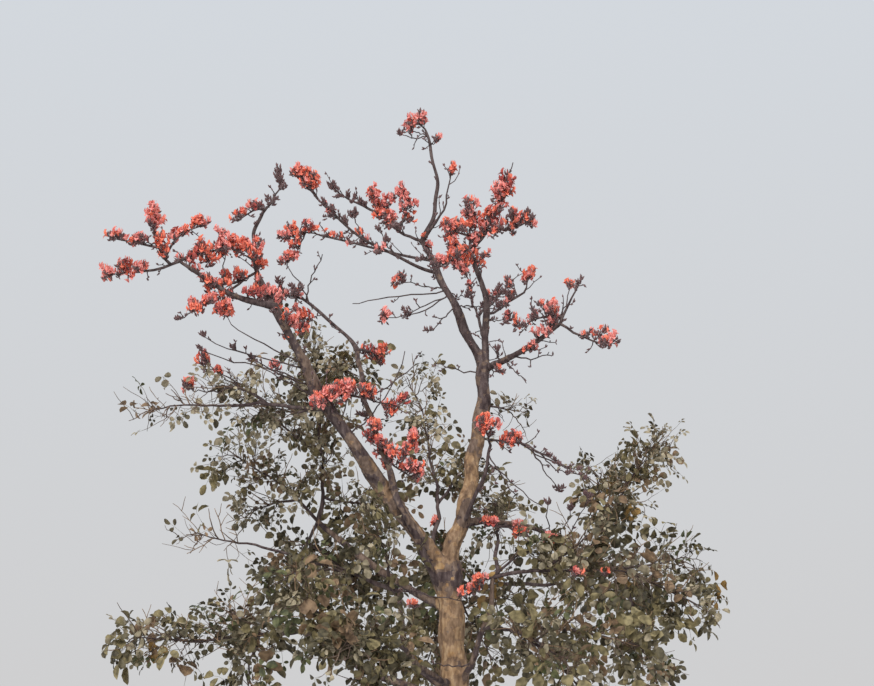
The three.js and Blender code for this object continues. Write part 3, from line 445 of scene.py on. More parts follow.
OWN_SEED = 500  # added to a mass's seed for the draws that the source doesn't make
KNOT_SEED = 91
LIMB_SEED = 77  # of what grows on the limbs outside the masses
BARE_TWIG_SEED = 83

# What grows, once its place is worked out
Branch = namedtuple("Branch", "curve radius spread start full", defaults=(0, 0, 1))
Station = namedtuple("Station", "root heading turn size lean")
Sample = namedtuple("Sample", "limb place heading along radius")
Spray = namedtuple("Spray", "root direction reach blade across scale")
Leaf = namedtuple("Leaf", "tint root way blade facing size width stalk")
Flower = namedtuple("Flower", "tint root way facing size")
Bud = namedtuple("Bud", "root way size")

# Finishes. grain, for the colours, and relief are noises: scale, detail and how dense they are upwards.
# places are where the colours stand along the grain, and height is how far the relief stands out.
Finish = namedtuple("Finish", "roughness sheen grain places relief height")
BARK = Finish(0.9, 0, (22, 6, 0.35), (0.3, 0.5, 0.72), (60, 5, 0.3), 0.006)
LEAF = Finish(0.6, 0, (14, 4, 1), (0.36, 0.64), (150, 3, 1), 0.0015)
PETAL = Finish(0.65, 0.25, (45, 3, 1), (0.35, 0.62), (400, 2, 1), 0.0006)
VELVET = Finish(0.95, 0.4, (90, 3, 1), (0.35, 0.65), (700, 2, 1), 0.0004)

# Colours in sRGB bytes, from dark to light. The barks too go from the darkest to the palest, and then ochre.
BARK_TINTS = {
    "dusky": ((54, 42, 42), (82, 68, 66), (112, 98, 94)),
    "brown": ((74, 59, 51), (110, 91, 79), (144, 124, 109)),
    "tan": ((92, 71, 55), (136, 109, 85), (170, 142, 113)),
    "pale": ((112, 85, 63), (158, 127, 95), (190, 160, 125)),
    "ochre": ((124, 92, 62), (160, 126, 88), (192, 160, 120)),
}
LEAF_TINTS = {
    "grey": ((117, 107, 85), (176, 162, 135)),
    "olive": ((88, 79, 53), (148, 134, 96)),
    # dark: partly the leaves' own tone and partly painted shade
    "dark": ((56, 50, 35), (102, 93, 70)),
    "green": ((58, 61, 38), (106, 107, 71)),
    "ochre": ((128, 98, 52), (166, 132, 80)),
    "brown": ((100, 79, 60), (150, 123, 94)),
}
PETAL_TINTS = {
    "salmon": ((222, 104, 94), (250, 168, 156)),
    "flame": ((228, 90, 64), (252, 144, 112)),
    # crimson: partly the petals' own deeper red and partly painted shade inside the clusters
    "crimson": ((146, 54, 50), (196, 88, 78)),
}
LEAF_STALK_TINTS = ((84, 80, 56), (120, 112, 84))
# Up to which draw from 0 to 1 a twig's leaves have a tint: high up, and how much further low down. The rest
# are dark.
# Grey, more common high up, and dark, more common low down, are partly the leaves' own tones and partly
# painted light and shade: the upper crown painted lighter, the lower crown darker.
LEAF_CHANCES = {
    "ochre": (0, 0.015),
    "brown": (0.04, 0.06),
    "green": (0.05, 0.14),
    "olive": (0.17, 0.24),
    "grey": (0.8, -0.2),
}
CALYX_TINTS = ((66, 44, 45), (130, 94, 91))


# Growing

def seeded(seed):
    """Park-Miller random numbers, the same as the source's."""
    modulus = 2147483647
    factor = 16807
    spread_seeds = 7919
    state = (seed * spread_seeds) % modulus

    def draw(low=0.0, high=1.0):
        nonlocal state
        state = (state * factor) % modulus
        return low + (high - low) * (state / modulus)

    return draw


def stray(draw):
    """A random offset of up to 1 along each axis."""
    return Vector((draw(-1, 1), draw(-1, 1), draw(-1, 1)))


class Bow:
    """The arc from start to end whose middle stands off the straight line by bow."""

    def __init__(self, start, end, bow):
        self.start = Vector(start)
        self.end = Vector(end)
        self.control = (self.start + self.end) / 2 + 2 * Vector(bow)

    def point(self, t):
        rest = 1 - t
        return self.start * rest * rest + self.control * (2 * rest * t) + self.end * t * t

    def tangent(self, t):
        along = (self.control - self.start) * (1 - t) + (self.end - self.control) * t
        return along.normalized()

    def length(self):
        chords = 60
        points = [self.point(i / chords) for i in range(chords + 1)]
        return sum((b - a).length for a, b in zip(points, points[1:]))


def trunk_lean(height):
    return -TRUNK_LEAN * (height / FORK_HEIGHT) ** LEAN_POWER


class TrunkLine:
    """The middle line of the trunk, from the ground to the fork."""

    def point(self, t):
        height = max(t, 0) * FORK_HEIGHT
        return Vector((trunk_lean(height), 0, height))

    def tangent(self, t):
        step = 0.01
        return (self.point(t + step) - self.point(t - step)).normalized()

    def length(self):
        return FORK_HEIGHT


def trunk_radius(height, angle):
    """The trunk's radius at a height, with the roots' lobes."""
    lobes = 1 + ROOT_LOBE_DEPTH * math.cos(ROOT_LOBES * angle + ROOT_TURN)
    flare = ROOT_FLARE * math.exp(-height / ROOT_FLARE_HEIGHT) * lobes
    share = min(height / FORK_HEIGHT, 1)
    return TRUNK_RADIUS_FOOT + (TRUNK_RADIUS_FORK - TRUNK_RADIUS_FOOT) * share + flare


def fork_widening(height):
    """How much wider the trunk is from left to right than from front to back, towards the fork."""
    t = min(max((height - FORK_WIDENING_START) / (FORK_HEIGHT - FORK_WIDENING_START), 0), 1)
    return 1 + FORK_WIDENING * t * t * (3 - 2 * t)


def limb_radius(radius, t, length):
    """The radius of a limb at the share t of its length, swollen where it leaves another."""
    base, tip = radius
    return (base + (tip - base) * t) * (1 + COLLAR * math.exp(-t * length / (2 * base)))


def leaning_from(heading, turn, lean, lift):
    """A direction that leans from heading, turned round it by an angle and lifted towards the sky."""
    upright = 0.05
    side = UP.cross(heading)
    if side.length < upright:
        side = Vector((1, 0, 0))
    side.normalize()
    side.rotate(Quaternion(heading, turn))
    leaning = heading * math.cos(lean) + side * math.sin(lean)
    leaning.z += lift
    return leaning.normalized()


def stations(arm, spacing, fewest, draw):
    """Places along an arm where twigs or heads stand, with the draws that the source gives each one."""
    count = max(fewest, round((1 - arm.start) * arm.curve.length() / spacing))
    found = []
    for i in range(count):
        t = arm.start + (1 - arm.start) * ((i + 0.5) / count)
        turn = i * GOLDEN_ANGLE + draw(-STATION_TURN, STATION_TURN)
        size = draw(*STATION_SIZE)
        lean = draw(*STATION_LEAN)
        found.append(Station(arm.curve.point(t), arm.curve.tangent(t), turn, size, lean))
    return found


def leaving(station, share, lift):
    """The direction of what leaves an arm at a station, with a share of the lean drawn there."""
    return leaning_from(station.heading, station.turn, station.lean * share, lift)


def grow_limbs():
    """Every limb by name, the trunk first."""
    grown = {"trunk": Branch(TrunkLine(), (TRUNK_RADIUS_FOOT, TRUNK_RADIUS_FORK))}
    for name, limb in LIMBS.items():
        start = grown[limb.on].curve.point(limb.at)
        grown[name] = Branch(Bow(start, limb.to, limb.bow), limb.radius)
    return grown


def arms_of(name, mass, limbs):
    """The arms of a mass, from the limb's own end or flank."""
    thickest = 0.9
    host = limbs[mass.on]
    grown = []
    for index, arm in enumerate(mass.arms):
        start = host.curve.point(mass.at) if arm.parent is None else grown[arm.parent].curve.point(arm.at)
        curve = Bow(start, arm.to, arm.bow)
        base = arm.radius or min(host.radius[1] * thickest, ARM_RADIUS + curve.length() * ARM_TAPER)
        full = FULLNESS.get(f"{name} {index}", 1)
        grown.append(Branch(curve, (base, ARM_TIP), arm.spread, arm.start, full))
    return grown


def wander(start, direction, length, draw, points, bend, lift):
    """A crooked path of so many points that sets out in a direction and turns a little at each step."""
    path = [Vector(start)]
    heading = direction.normalized()
    step = length / (points - 1)
    for _ in range(points - 1):
        heading = (heading + stray(draw) * bend + UP * lift).normalized()
        path.append(path[-1] + heading * step)
    return path


def onward(path, place):
    """The direction in which a path comes to one of its points."""
    return (path[place] - path[place - 1]).normalized()


# Meshes, each as its points and its triangles

def crooked(points):
    """Points moved a little by long waves, so that the limbs and what they carry are not quite straight.

    A wave is the axis it moves, its radians a metre upwards and sideways, and where it starts.
    """
    waves = ((0, 4.7, 1.9, 0.3), (0, 10.9, 5.3, 2.1), (1, 5.3, -2.3, 1.1), (1, 12.1, 4.1, 4.0))
    lifting_x = 6.1
    lifting_y = 3.7
    full_height = 2
    moved = np.array(points, dtype=float)
    rise = np.clip(moved[:, 2] / full_height, 0, 1)
    shift = np.zeros((len(moved), 3))
    for axis, along, aside, phase in waves:
        shift[:, axis] += np.sin(along * moved[:, 2] + aside * (moved[:, 0] + moved[:, 1]) + phase)
    shift[:, 2] = np.sin(lifting_x * moved[:, 0] + lifting_y * moved[:, 1])
    return moved + shift * (rise * CROOK)[:, None]


def closed_tubes(paths, radii, sides):
    """Closed tubes round paths that all have the same number of points."""
    steepest = 0.7
    root_bulge = 0.3
    tip_bulge = 0.8
    paths = np.array(paths, dtype=float)
    radii = np.array(radii, dtype=float)
    count, rings, _ = paths.shape
    tangents = np.gradient(paths, axis=1)
    tangents /= np.linalg.norm(tangents, axis=2, keepdims=True)
    chord = paths[:, -1] - paths[:, 0]
    steep = np.abs(chord[:, 2]) > steepest * np.linalg.norm(chord, axis=1)
    level = np.where(steep[:, None], (0.0, 1.0, 0.0), (0.0, 0.0, 1.0))
    across = np.cross(tangents, np.cross(chord, level)[:, None])
    across /= np.linalg.norm(across, axis=2, keepdims=True)
    other = np.cross(tangents, across)
    angles = np.arange(sides) * TURN / sides
    around = (np.cos(angles)[:, None] * across[:, :, None] + np.sin(angles)[:, None] * other[:, :, None])
    walls = paths[:, :, None] + around * radii[:, :, None, None]
    first = paths[:, :1] - tangents[:, :1] * radii[:, :1, None] * root_bulge
    last = paths[:, -1:] + tangents[:, -1:] * radii[:, -1:, None] * tip_bulge
    points = np.concatenate([walls.reshape(count, -1, 3), first, last], axis=1)
    shifts = np.arange(count)[:, None, None] * points.shape[1]
    return points.reshape(-1, 3), (tube_triangles(rings, sides) + shifts).reshape(-1, 3)


def tube_triangles(rings, sides):
    """The triangles of one closed tube: its walls, and a fan at each end."""
    base = rings * sides
    top = base - sides
    faces = []
    for side in range(sides):
        after = (side + 1) % sides
        faces.append((base, after, side))
        faces.append((base + 1, top + side, top + after))
        for low in range(0, top, sides):
            high = low + sides
            faces.append((low + side, low + after, high + after))
            faces.append((low + side, high + after, high + side))
    return np.array(faces)


def copies(template, triangles, axes, origins):
    """Copies of a small mesh, each turned and scaled by its three axes and put at its origin."""
    points = np.einsum("vk,nkj->nvj", template, axes) + origins[:, None]
    shifts = np.arange(len(origins))[:, None, None] * len(template)
    return points.reshape(-1, 3), (triangles + shifts).reshape(-1, 3)


def joined(meshes):
    """Several meshes as one."""
    points = [some for some, _ in meshes]
    shifts = np.cumsum([0] + [len(some) for some in points[:-1]])
    triangles = [faces + shift for (_, faces), shift in zip(meshes, shifts)]
    return np.concatenate(points), np.concatenate(triangles)


def add_object(name, mesh, nodes):
    """A finished mesh of the tree as an object that rides on its body and stands for nodes of the model."""
    piece = bpy.data.objects.new(name, mesh)
    bpy.context.scene.collection.objects.link(piece)
    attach(piece, "root")
    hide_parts(*nodes)


def add_piece(name, shape, material, nodes):
    """One joined mesh of many small things, as an object of the tree."""
    points, triangles = shape
    mesh = bpy.data.meshes.new(name)
    mesh.from_pydata(crooked(points), [], triangles)
    mesh.polygons.foreach_set("use_smooth", np.ones(len(triangles), dtype=bool))
    mesh.materials.append(material)
    mesh.update()
    add_object(name, mesh, nodes)


# Materials

def new_material(name, roughness):
    dull = 0.3
    material = bpy.data.materials.new(name)
    material.use_nodes = True
    shader = material.node_tree.nodes["Principled BSDF"]
    shader.inputs["Roughness"].default_value = roughness
    shader.inputs["Specular IOR Level"].default_value = dull
    return material, material.node_tree, shader


def speckle(tree, scale, detail, upward):
    """Noise over the tree, as a socket from 0 to 1. upward below 1 draws the grains out in height."""
    place = tree.nodes.new("ShaderNodeTexCoord")
    mapping = tree.nodes.new("ShaderNodeMapping")
    mapping.inputs["Scale"].default_value = (1, 1, upward)
    grain = tree.nodes.new("ShaderNodeTexNoise")
    grain.inputs["Scale"].default_value = scale
    grain.inputs["Detail"].default_value = detail
    tree.links.new(place.outputs["Object"], mapping.inputs["Vector"])
    tree.links.new(mapping.outputs["Vector"], grain.inputs["Vector"])
    return grain.outputs["Fac"]


def shades(tree, factor, places, colours):
    """Colours in sRGB bytes that follow a factor, each at its place from 0 to 1."""
    ramp = tree.nodes.new("ShaderNodeValToRGB")
    elements = ramp.color_ramp.elements
    while len(elements) < len(places):
        elements.new(0.5)
    for element, place, colour in zip(elements, places, colours):
        element.position = place
        element.color = linear(colour)
    tree.links.new(factor, ramp.inputs["Fac"])
    return ramp.outputs["Color"]


def linear(colour):
    """A colour in sRGB bytes as linear light, with full alpha."""
    parts = [value / 255 for value in colour]
    return (*[p / 12.92 if p <= 0.04045 else ((p + 0.055) / 1.055) ** 2.4 for p in parts], 1)


def natural(name, finish, colours):
    """A material whose colours follow one noise and whose relief follows a finer one."""
    material, tree, shader = new_material(name, finish.roughness)
    colour = shades(tree, speckle(tree, *finish.grain), finish.places, colours)
    tree.links.new(colour, shader.inputs["Base Color"])
    shader.inputs["Sheen Weight"].default_value = finish.sheen
    relief = speckle(tree, *finish.relief)
    raised = tree.nodes.new("ShaderNodeBump")
    raised.inputs["Distance"].default_value = finish.height
    tree.links.new(relief, raised.inputs["Height"])
    tree.links.new(raised.outputs["Normal"], shader.inputs["Normal"])
    return material


# Trunk and boughs

def along_curve(curve, spacing):
    """Points of a curve at most spacing apart, each with its share of the length before it."""
    count = max(4, math.ceil(curve.length() / spacing))
    return [(i / count, curve.point(i / count)) for i in range(count + 1)]


def trunk_mesh():
    """The trunk as one closed tube from below the ground, where it is cut later, to inside the fork."""
    sides = 40
    steps = 60
    below = 0.08
    domed_top = ((0.55, 0.82), (0.9, 0.5))
    levels = [(-below, 1)]
    levels += [(FORK_HEIGHT * (i / steps) ** 1.5, 1) for i in range(steps + 1)]
    levels += [(FORK_HEIGHT + above * CROTCH, share) for above, share in domed_top]
    points = []
    for height, share in levels:
        widening = fork_widening(height)
        lean = trunk_lean(max(height, 0))
        for side in range(sides):
            angle = TURN * side / sides
            radius = trunk_radius(max(height, 0), angle) * share
            points.append((lean + math.cos(angle) * radius * widening, math.sin(angle) * radius, height))
    points += [(0, 0, -below), (trunk_lean(FORK_HEIGHT), 0, FORK_HEIGHT + CROTCH)]
    return np.array(points), tube_triangles(len(levels), sides)


def limb_mesh(limb, sides):
    """A limb as a closed tube that starts inside the one that carries it."""
    spacing = 0.05
    sink = 0.03
    length = limb.curve.length()
    shares, path = zip(*along_curve(limb.curve, spacing))
    radii = [limb_radius(limb.radius, t, length) for t in shares]
    start = path[0] - limb.curve.tangent(0) * sink
    return closed_tubes([[start, *path[1:]]], [radii], sides)


def limb_samples(limbs):
    """Places along the middle of every limb, outside the limb that carries it."""
    spacing = 0.04
    samples = []
    for name, limb in limbs.items():
        length = limb.curve.length()
        sunk = 0 if name == "trunk" else limbs[LIMBS[name].on].radius[1]
        for t, point in along_curve(limb.curve, spacing):
            if t * length >= sunk:
                radius = limb_radius(limb.radius, t, length)
                if name == "trunk":
                    radius = trunk_radius(point.z, 0)
                samples.append(Sample(name, point, limb.curve.tangent(t), t * length, radius))
    return samples


def tree_of(points):
    """The points in a form in which the nearest one is found fast."""
    found = KDTree(len(points))
    for index, point in enumerate(points):
        found.insert(point, index)
    found.balance()
    return found


def fused(points, triangles):
    """The closed tubes as one smooth skin: a voxel remesh, smoothed."""
    mesh = bpy.data.meshes.new("limbs")
    mesh.from_pydata(points, [], triangles)
    piece = bpy.data.objects.new("limbs", mesh)
    bpy.context.scene.collection.objects.link(piece)
    remesh = piece.modifiers.new("remesh", "REMESH")
    remesh.mode = "VOXEL"
    remesh.voxel_size = VOXEL
    smooth = piece.modifiers.new("smooth", "SMOOTH")
    smooth.factor = 0.5
    smooth.iterations = 4
    bpy.context.view_layer.update()
    graph = bpy.context.evaluated_depsgraph_get()
    skin = bpy.data.meshes.new_from_object(piece.evaluated_get(graph))
    bpy.data.objects.remove(piece)
    return skin


def cut_at_ground(mesh):
    """Takes off what is below the ground and closes the cut."""
    shape = bmesh.new()
    shape.from_mesh(mesh)
    parts = shape.verts[:] + shape.edges[:] + shape.faces[:]
    ground = {"plane_co": (0, 0, 0), "plane_no": (0, 0, -1)}
    cut = bmesh.ops.bisect_plane(shape, geom=parts, clear_outer=True, **ground)
    rim = [item for item in cut["geom_cut"] if isinstance(item, bmesh.types.BMEdge)]
    bmesh.ops.edgeloop_fill(shape, edges=rim)
    shape.to_mesh(mesh)
    shape.free()


def knots_of(limbs):
    """Where old twigs have left knots: on the surface of each bough, turning round it."""
    draw = seeded(KNOT_SEED)
    knots = []
    for limb in limbs.values():
        curve = limb.curve
        count = round(curve.length() / KNOT_SPACING)
        for i in range(count):
            t = (i + draw(0.2, 0.8)) / count
            side = leaning_from(curve.tangent(t), draw(0, TURN), math.pi / 2, 0)
            knots.append(curve.point(t) + side * limb_radius(limb.radius, t, curve.length()))
    return tree_of(knots)


def raise_bark(mesh, samples, nearest, knots):
    """Moves the skin's points in and out: lumps, knots, and cracks that run along the limb."""
    settled = 0.03
    deepest_on = 0.12
    crack_narrowness = 5
    fine_scale = 2.3
    fine_depth = 0.6
    places = np.empty(len(mesh.vertices) * 3)
    normals = np.empty(len(mesh.vertices) * 3)
    mesh.vertices.foreach_get("co", places)
    mesh.vertex_normals.foreach_get("vector", normals)
    raised = []
    for place, normal in zip(places.reshape(-1, 3), normals.reshape(-1, 3)):
        point = Vector(place)
        _, centre, heading, along, radius = samples[nearest.find(point)[1]]
        offset = point - centre
        ahead = offset.dot(heading)
        drawn_out = (offset - heading * ahead) / FISSURE_WIDTH + heading * ((along + ahead) / FISSURE_LENGTH)
        crack = max(0, 1 - abs(noise.noise(drawn_out)) * crack_narrowness)
        fine = noise.noise(drawn_out * fine_scale)
        lump = noise.noise(point / LUMP_SIZE)
        near_knot = max(0, 1 - (knots.find(point)[2] / KNOT_RADIUS) ** 2)
        depth = -crack * FISSURE_DEPTH + fine * FISSURE_DEPTH * fine_depth + lump * LUMP_HEIGHT
        depth += KNOT_HEIGHT * near_knot ** 2
        thick = min(radius / deepest_on, 1)
        foot = min(max(point.z / settled, 0), 1)
        raised.append(place + normal * (depth * thick * foot))
    mesh.vertices.foreach_set("co", crooked(raised).ravel())


def bark_shade(limb, height, patch):
    """How pale a limb's bark is at a height, counted along BARK_TINTS. The trunk has a darker band just
    below the fork.
    """
    dark_band_height = 3.33
    dark_band_width = 0.24
    upper_crown = 4.3
    if limb == "trunk":
        # the trunk is darker in a band just below the fork
        dark_band = max(1 - abs(height - dark_band_height) / dark_band_width, 0)
        return 2.9 + 1.3 * patch - 2.6 * dark_band
    if limb == "right_bough":
        return 2.9 - 1.9 * max(height - 4.6, 0) + 1.5 * patch
    if limb == "left_bough":
        return 2.4 - 1.0 * (height - 3.6) + 1.5 * patch
    if limb in ("left_bough_upper", "inner_left_bough"):
        return 1.1 + patch
    return (1.2 if height < upper_crown else 0.6) + patch


def bark_tint(limb, point, normal):
    """Which of BARK_TINTS shows at a place of the skin. Undersides get darker tints as painted shade, and
    the fork has ochre.
    """
    ochre = len(BARK_TINTS) - 1
    coarse = 7
    fine = 19
    fine_share = 0.6
    ochre_at_fork = 0.25
    ochre_fading = 1.1
    ochre_on_trunk = 0.62
    patch = noise.noise(point * coarse) + fine_share * noise.noise(point * fine)
    fork = Vector((trunk_lean(FORK_HEIGHT), 0, FORK_HEIGHT))
    at_fork = patch > ochre_at_fork + ochre_fading * (point - fork).length
    if at_fork or (limb == "trunk" and patch > ochre_on_trunk):
        return ochre
    # faces that look downwards take darker tints: painted shade on the undersides
    shade = bark_shade(limb, point.z, patch) + min(normal.z + 0.25, 0) * 1.2
    return min(max(int(shade), 0), ochre - 1)


def on_trunk(point):
    """Whether a place of the skin is the trunk's, even where a bough's base is nearer than its middle."""
    collar = 1.15
    height = max(point.z, 0)
    aside = (point.x - trunk_lean(height)) / fork_widening(height)
    reach = trunk_radius(height, math.atan2(point.y, aside)) * collar
    return point.z < FORK_HEIGHT and math.hypot(aside, point.y) < reach


def add_skin(limbs, samples, nearest, barks):
    """The one skin of the trunk and the thick boughs."""
    thick = {name: limb for name, limb in limbs.items() if limb.radius[0] > SKIN_RADIUS}
    tubes = [limb_mesh(limb, 20) for name, limb in thick.items() if name != "trunk"]
    mesh = fused(*joined([trunk_mesh(), *tubes]))
    cut_at_ground(mesh)
    raise_bark(mesh, samples, nearest, knots_of(thick))
    mesh.name = "bark_skin"
    for bark in barks:
        mesh.materials.append(bark)
    tints = []
    for face in mesh.polygons:
        limb = "trunk" if on_trunk(face.center) else samples[nearest.find(face.center)[1]].limb
        tints.append(bark_tint(limb, face.center, face.normal))
    mesh.polygons.foreach_set("material_index", tints)
    mesh.polygons.foreach_set("use_smooth", np.ones(len(tints), dtype=bool))
    mesh.update()
    add_object("bark_skin", mesh, thick)


# Twigs, leaves and flowers are gathered here as they grow, and become meshes at the end.

class Growth:
    """Everything that grows: tubes by kind and number of points, leaves, flowers and buds."""

    def __init__(self, samples, nearest):
        self.samples = samples
        self.nearest = nearest
        self.tubes = {}
        self.leaves = []
        self.flowers = []
        self.buds = []

    def tube(self, kind, path, base, tip):
        """A tube along a path that tapers from base to tip."""
        radii = [base + (tip - base) * i / (len(path) - 1) for i in range(len(path))]
        self.tubes.setdefault((kind, len(path)), []).append((path, radii))

    def clear(self, point):
        """Whether a point keeps a gap from every limb."""
        gap = 0.012
        _, index, distance = self.nearest.find(point)
        return distance > self.samples[index].radius + gap

    def free(self, points):
        """Whether points are clear of the limbs and inside the model's box."""
        return all(self.clear(point) and inside(point) for point in points)


def inside(point):
    """Whether a point lies in the model's box, or just outside it."""
    sides = zip(point, cad_low, cad_high)
    return all(low - KEPT_INSIDE < value < high + KEPT_INSIDE for value, low, high in sides)


def grow_arm(arm, grown, draw):
    """The arm itself, with small bends, from inside its parent to its own end."""
    spacing = 0.09
    bend = 0.011
    points = max(5, round(arm.curve.length() / spacing))
    path = []
    for i in range(points):
        t = i / (points - 1)
        quiet = math.sin(math.pi * t) ** 0.5
        path.append(arm.curve.point(t) + stray(draw) * bend * quiet)
    grown.tube("branch", path, *arm.radius)


def blade_of(direction, draw):
    """How the source hangs the leaf of a twig: its direction, the way across it, and its scale."""
    blade = direction.copy()
    blade.z -= LEAF_DROOP * draw(0.2, 1.3)
    blade.normalize()
    up = Vector((draw(-LEAF_TILT, LEAF_TILT), draw(-LEAF_TILT, LEAF_TILT), 1))
    return blade, blade.cross(up).normalized(), draw(0.8, 1.1)


def leaf_tint(root, draw):
    """The tint of a twig's leaves, by LEAF_CHANCES."""
    crown_middle = 5
    crown_depth = 1.6
    low = min(max((crown_middle - root.z) / crown_depth, 0), 1)
    chance = draw()
    for tint, (high_up, lower_down) in LEAF_CHANCES.items():
        if chance < high_up + lower_down * low:
            return tint
    return "dark"


def petal_tint(draw):
    """The tint of a raceme's flowers: salmon and flame alike, and a few crimson, whose deeper red is partly
    painted shade in the clusters.
    """
    share = 0.42
    chance = draw()
    if chance < share:
        return "salmon"
    return "flame" if chance < 2 * share else "crimson"


def grow_leaf(grown, tint, root, direction, draw):
    """One leaf on its stalk, which leaves the twig and lets the blades hang, unless it would stick out."""
    sway = 0.8
    low_height = 4.4
    smallest, largest = LEAFLET
    hang = draw(0.0, 1.5)
    blade = (direction - UP * hang + Vector((draw(-sway, sway), draw(-sway, sway), 0))).normalized()
    facing = Vector((draw(-1, 1), draw(-1, 1), draw(0.1, 0.9))).normalized()
    low = 1 + (LOW_LEAFLET - 1) * min(max(low_height - root.z, 0), 1)
    size = (smallest + (largest - smallest) * draw() ** 1.5) * low * OLD_LEAFLET.get(tint, 1)
    stalk = draw(*PETIOLE)
    hub = root + direction * stalk
    aside = blade.cross(facing).normalized()
    tips = (blade * 1.6, blade * 0.3 + aside, blade * 0.3 - aside)
    if all(inside(hub + tip * size) for tip in tips):
        grown.leaves.append(Leaf(tint, root, direction, blade, facing, size, draw(0.7, 1.15), stalk))


def grow_side_twig(grown, root, direction, length, full, draw):
    """A fine crooked twig with a leaf at its end and at its bends. Some have lost all their leaves."""
    points = 5
    bare = draw() > LEAFINESS * full
    if bare and draw() < 0.5:
        return
    twig = wander(root, direction, length * (1.3 if bare else 1), draw, points, bend=0.3, lift=0.04)
    if not grown.free(twig[-1:]):
        return
    grown.tube("fine", twig, FINE_RADIUS, FINE_RADIUS * 0.6)
    if bare:
        return
    tint = leaf_tint(root, draw)
    for place in range(2, points):
        last = place == points - 1
        if last or draw() < 0.75:
            aside = leaning_from(onward(twig, place), draw(0, TURN), 0 if last else draw(0.6, 1.2), lift=0.1)
            grow_leaf(grown, tint, twig[place], aside, draw)


def grow_leaf_spray(grown, spray, full, draw):
    """Where the model has one large leaf on its twig: the twig goes on, branches and carries true leaves."""
    side_twigs = round(7 * max(full, 1))
    points = 9
    wobble = 0.012
    leaf_share = 0.75
    bend = 0.03
    joint = spray.root + spray.direction * spray.reach
    end = joint + spray.blade * LEAF_LENGTH * leaf_share * spray.scale
    control = joint + spray.direction * bend
    path = []
    for i in range(points):
        t = i / (points - 1)
        bent = spray.root * (1 - t) ** 2 + control * 2 * t * (1 - t) + end * t * t
        path.append(bent + stray(draw) * wobble * (t > 0))
    grown.tube("twig", path, TWIG_RADIUS, FINE_RADIUS * 0.8)
    if draw() < full:
        grow_leaf(grown, leaf_tint(spray.root, draw), path[-1], spray.blade, draw)
    for i in range(side_twigs):
        hand = 1 if i % 2 else -1
        heading = spray.blade * draw(0.0, 0.7) + spray.across * hand * draw(0.5, 1.0) + UP * draw(-0.4, 0.8)
        knot = path[1 + i % (points - 1)]
        grow_side_twig(grown, knot, heading, draw(0.12, 0.38) * spray.scale, full, draw)


def grow_leafy_mass(name, mass, seed, limbs, grown):
    """A mass of leaves by the source's rule, with its draws in the same order, and finer twigs besides."""
    twig_lift = 0.15
    shortest = 0.25
    stalk = 0.6
    last_twig = 0.98
    shoot_spacing = 0.12
    wand_spacing = 0.2
    draw = seeded(seed)
    own = seeded(seed + OWN_SEED)
    for arm in arms_of(name, mass, limbs):
        grow_arm(arm, grown, own)
        sprays = []
        for place in stations(arm, TWIG_SPACING, 2, draw):
            direction = leaving(place, 1, twig_lift)
            reach = max(arm.spread * draw(shortest, place.size) - LEAF_LENGTH * stalk, SHORTEST_TWIG)
            sprays.append(Spray(place.root, direction, reach, *blade_of(direction, draw)))
        end = arm.curve.tangent(1)
        sprays.append(Spray(arm.curve.point(last_twig), end, SHORTEST_TWIG, *blade_of(end, draw)))
        for spray in sprays:
            grow_leaf_spray(grown, spray, arm.full, own)
        for place in stations(arm, shoot_spacing / max(arm.full, 1), 2, own):
            length = arm.spread * own(0.2, 0.9)
            grow_side_twig(grown, place.root, leaving(place, 1, lift=0.2), length, arm.full, own)
        for place in stations(arm, wand_spacing, 1, own):
            grow_wand(grown, place, arm.spread * own(0.7, 1.6), own)


def grow_wand(grown, place, length, draw):
    """A long crooked twig without leaves that reaches through the mass."""
    path = wander(place.root, leaving(place, 0.8, lift=0.3), length, draw, points=8, bend=0.2, lift=0.02)
    if grown.free(path[2:]):
        grown.tube("wand", path, TWIG_RADIUS, FINE_RADIUS * 0.7)


def grow_bare_twigs(limbs, grown):
    """Bare twigs along the arms of every mass of leaves, which cross the lower crown."""
    draw = seeded(BARE_TWIG_SEED)
    for name, mass in LEAFY.items():
        for arm in arms_of(name, mass, limbs):
            for place in stations(arm, BARE_TWIG_SPACING, 1, draw):
                grow_bare_twig(grown, place, arm.spread * draw(0.8, 1.9), draw)


def grow_bare_twig(grown, place, length, draw):
    """A long crooked twig that has lost its leaves, with two short side twigs."""
    path = wander(place.root, leaving(place, 0.9, lift=0.3), length, draw, points=8, bend=0.24, lift=0.02)
    if not grown.free(path[2:]):
        return
    grown.tube("bare", path, TWIG_RADIUS * 0.75, FINE_RADIUS * 0.7)
    for knot in (3, 5):
        aside = leaning_from(onward(path, knot), draw(0, TURN), draw(0.6, 1.1), lift=0.2)
        side_length = length * draw(0.2, 0.45)
        side_twig = wander(path[knot], aside, side_length, draw, points=4, bend=0.25, lift=0.05)
        if inside(side_twig[-1]):
            grown.tube("bare", side_twig, FINE_RADIUS, FINE_RADIUS * 0.6)


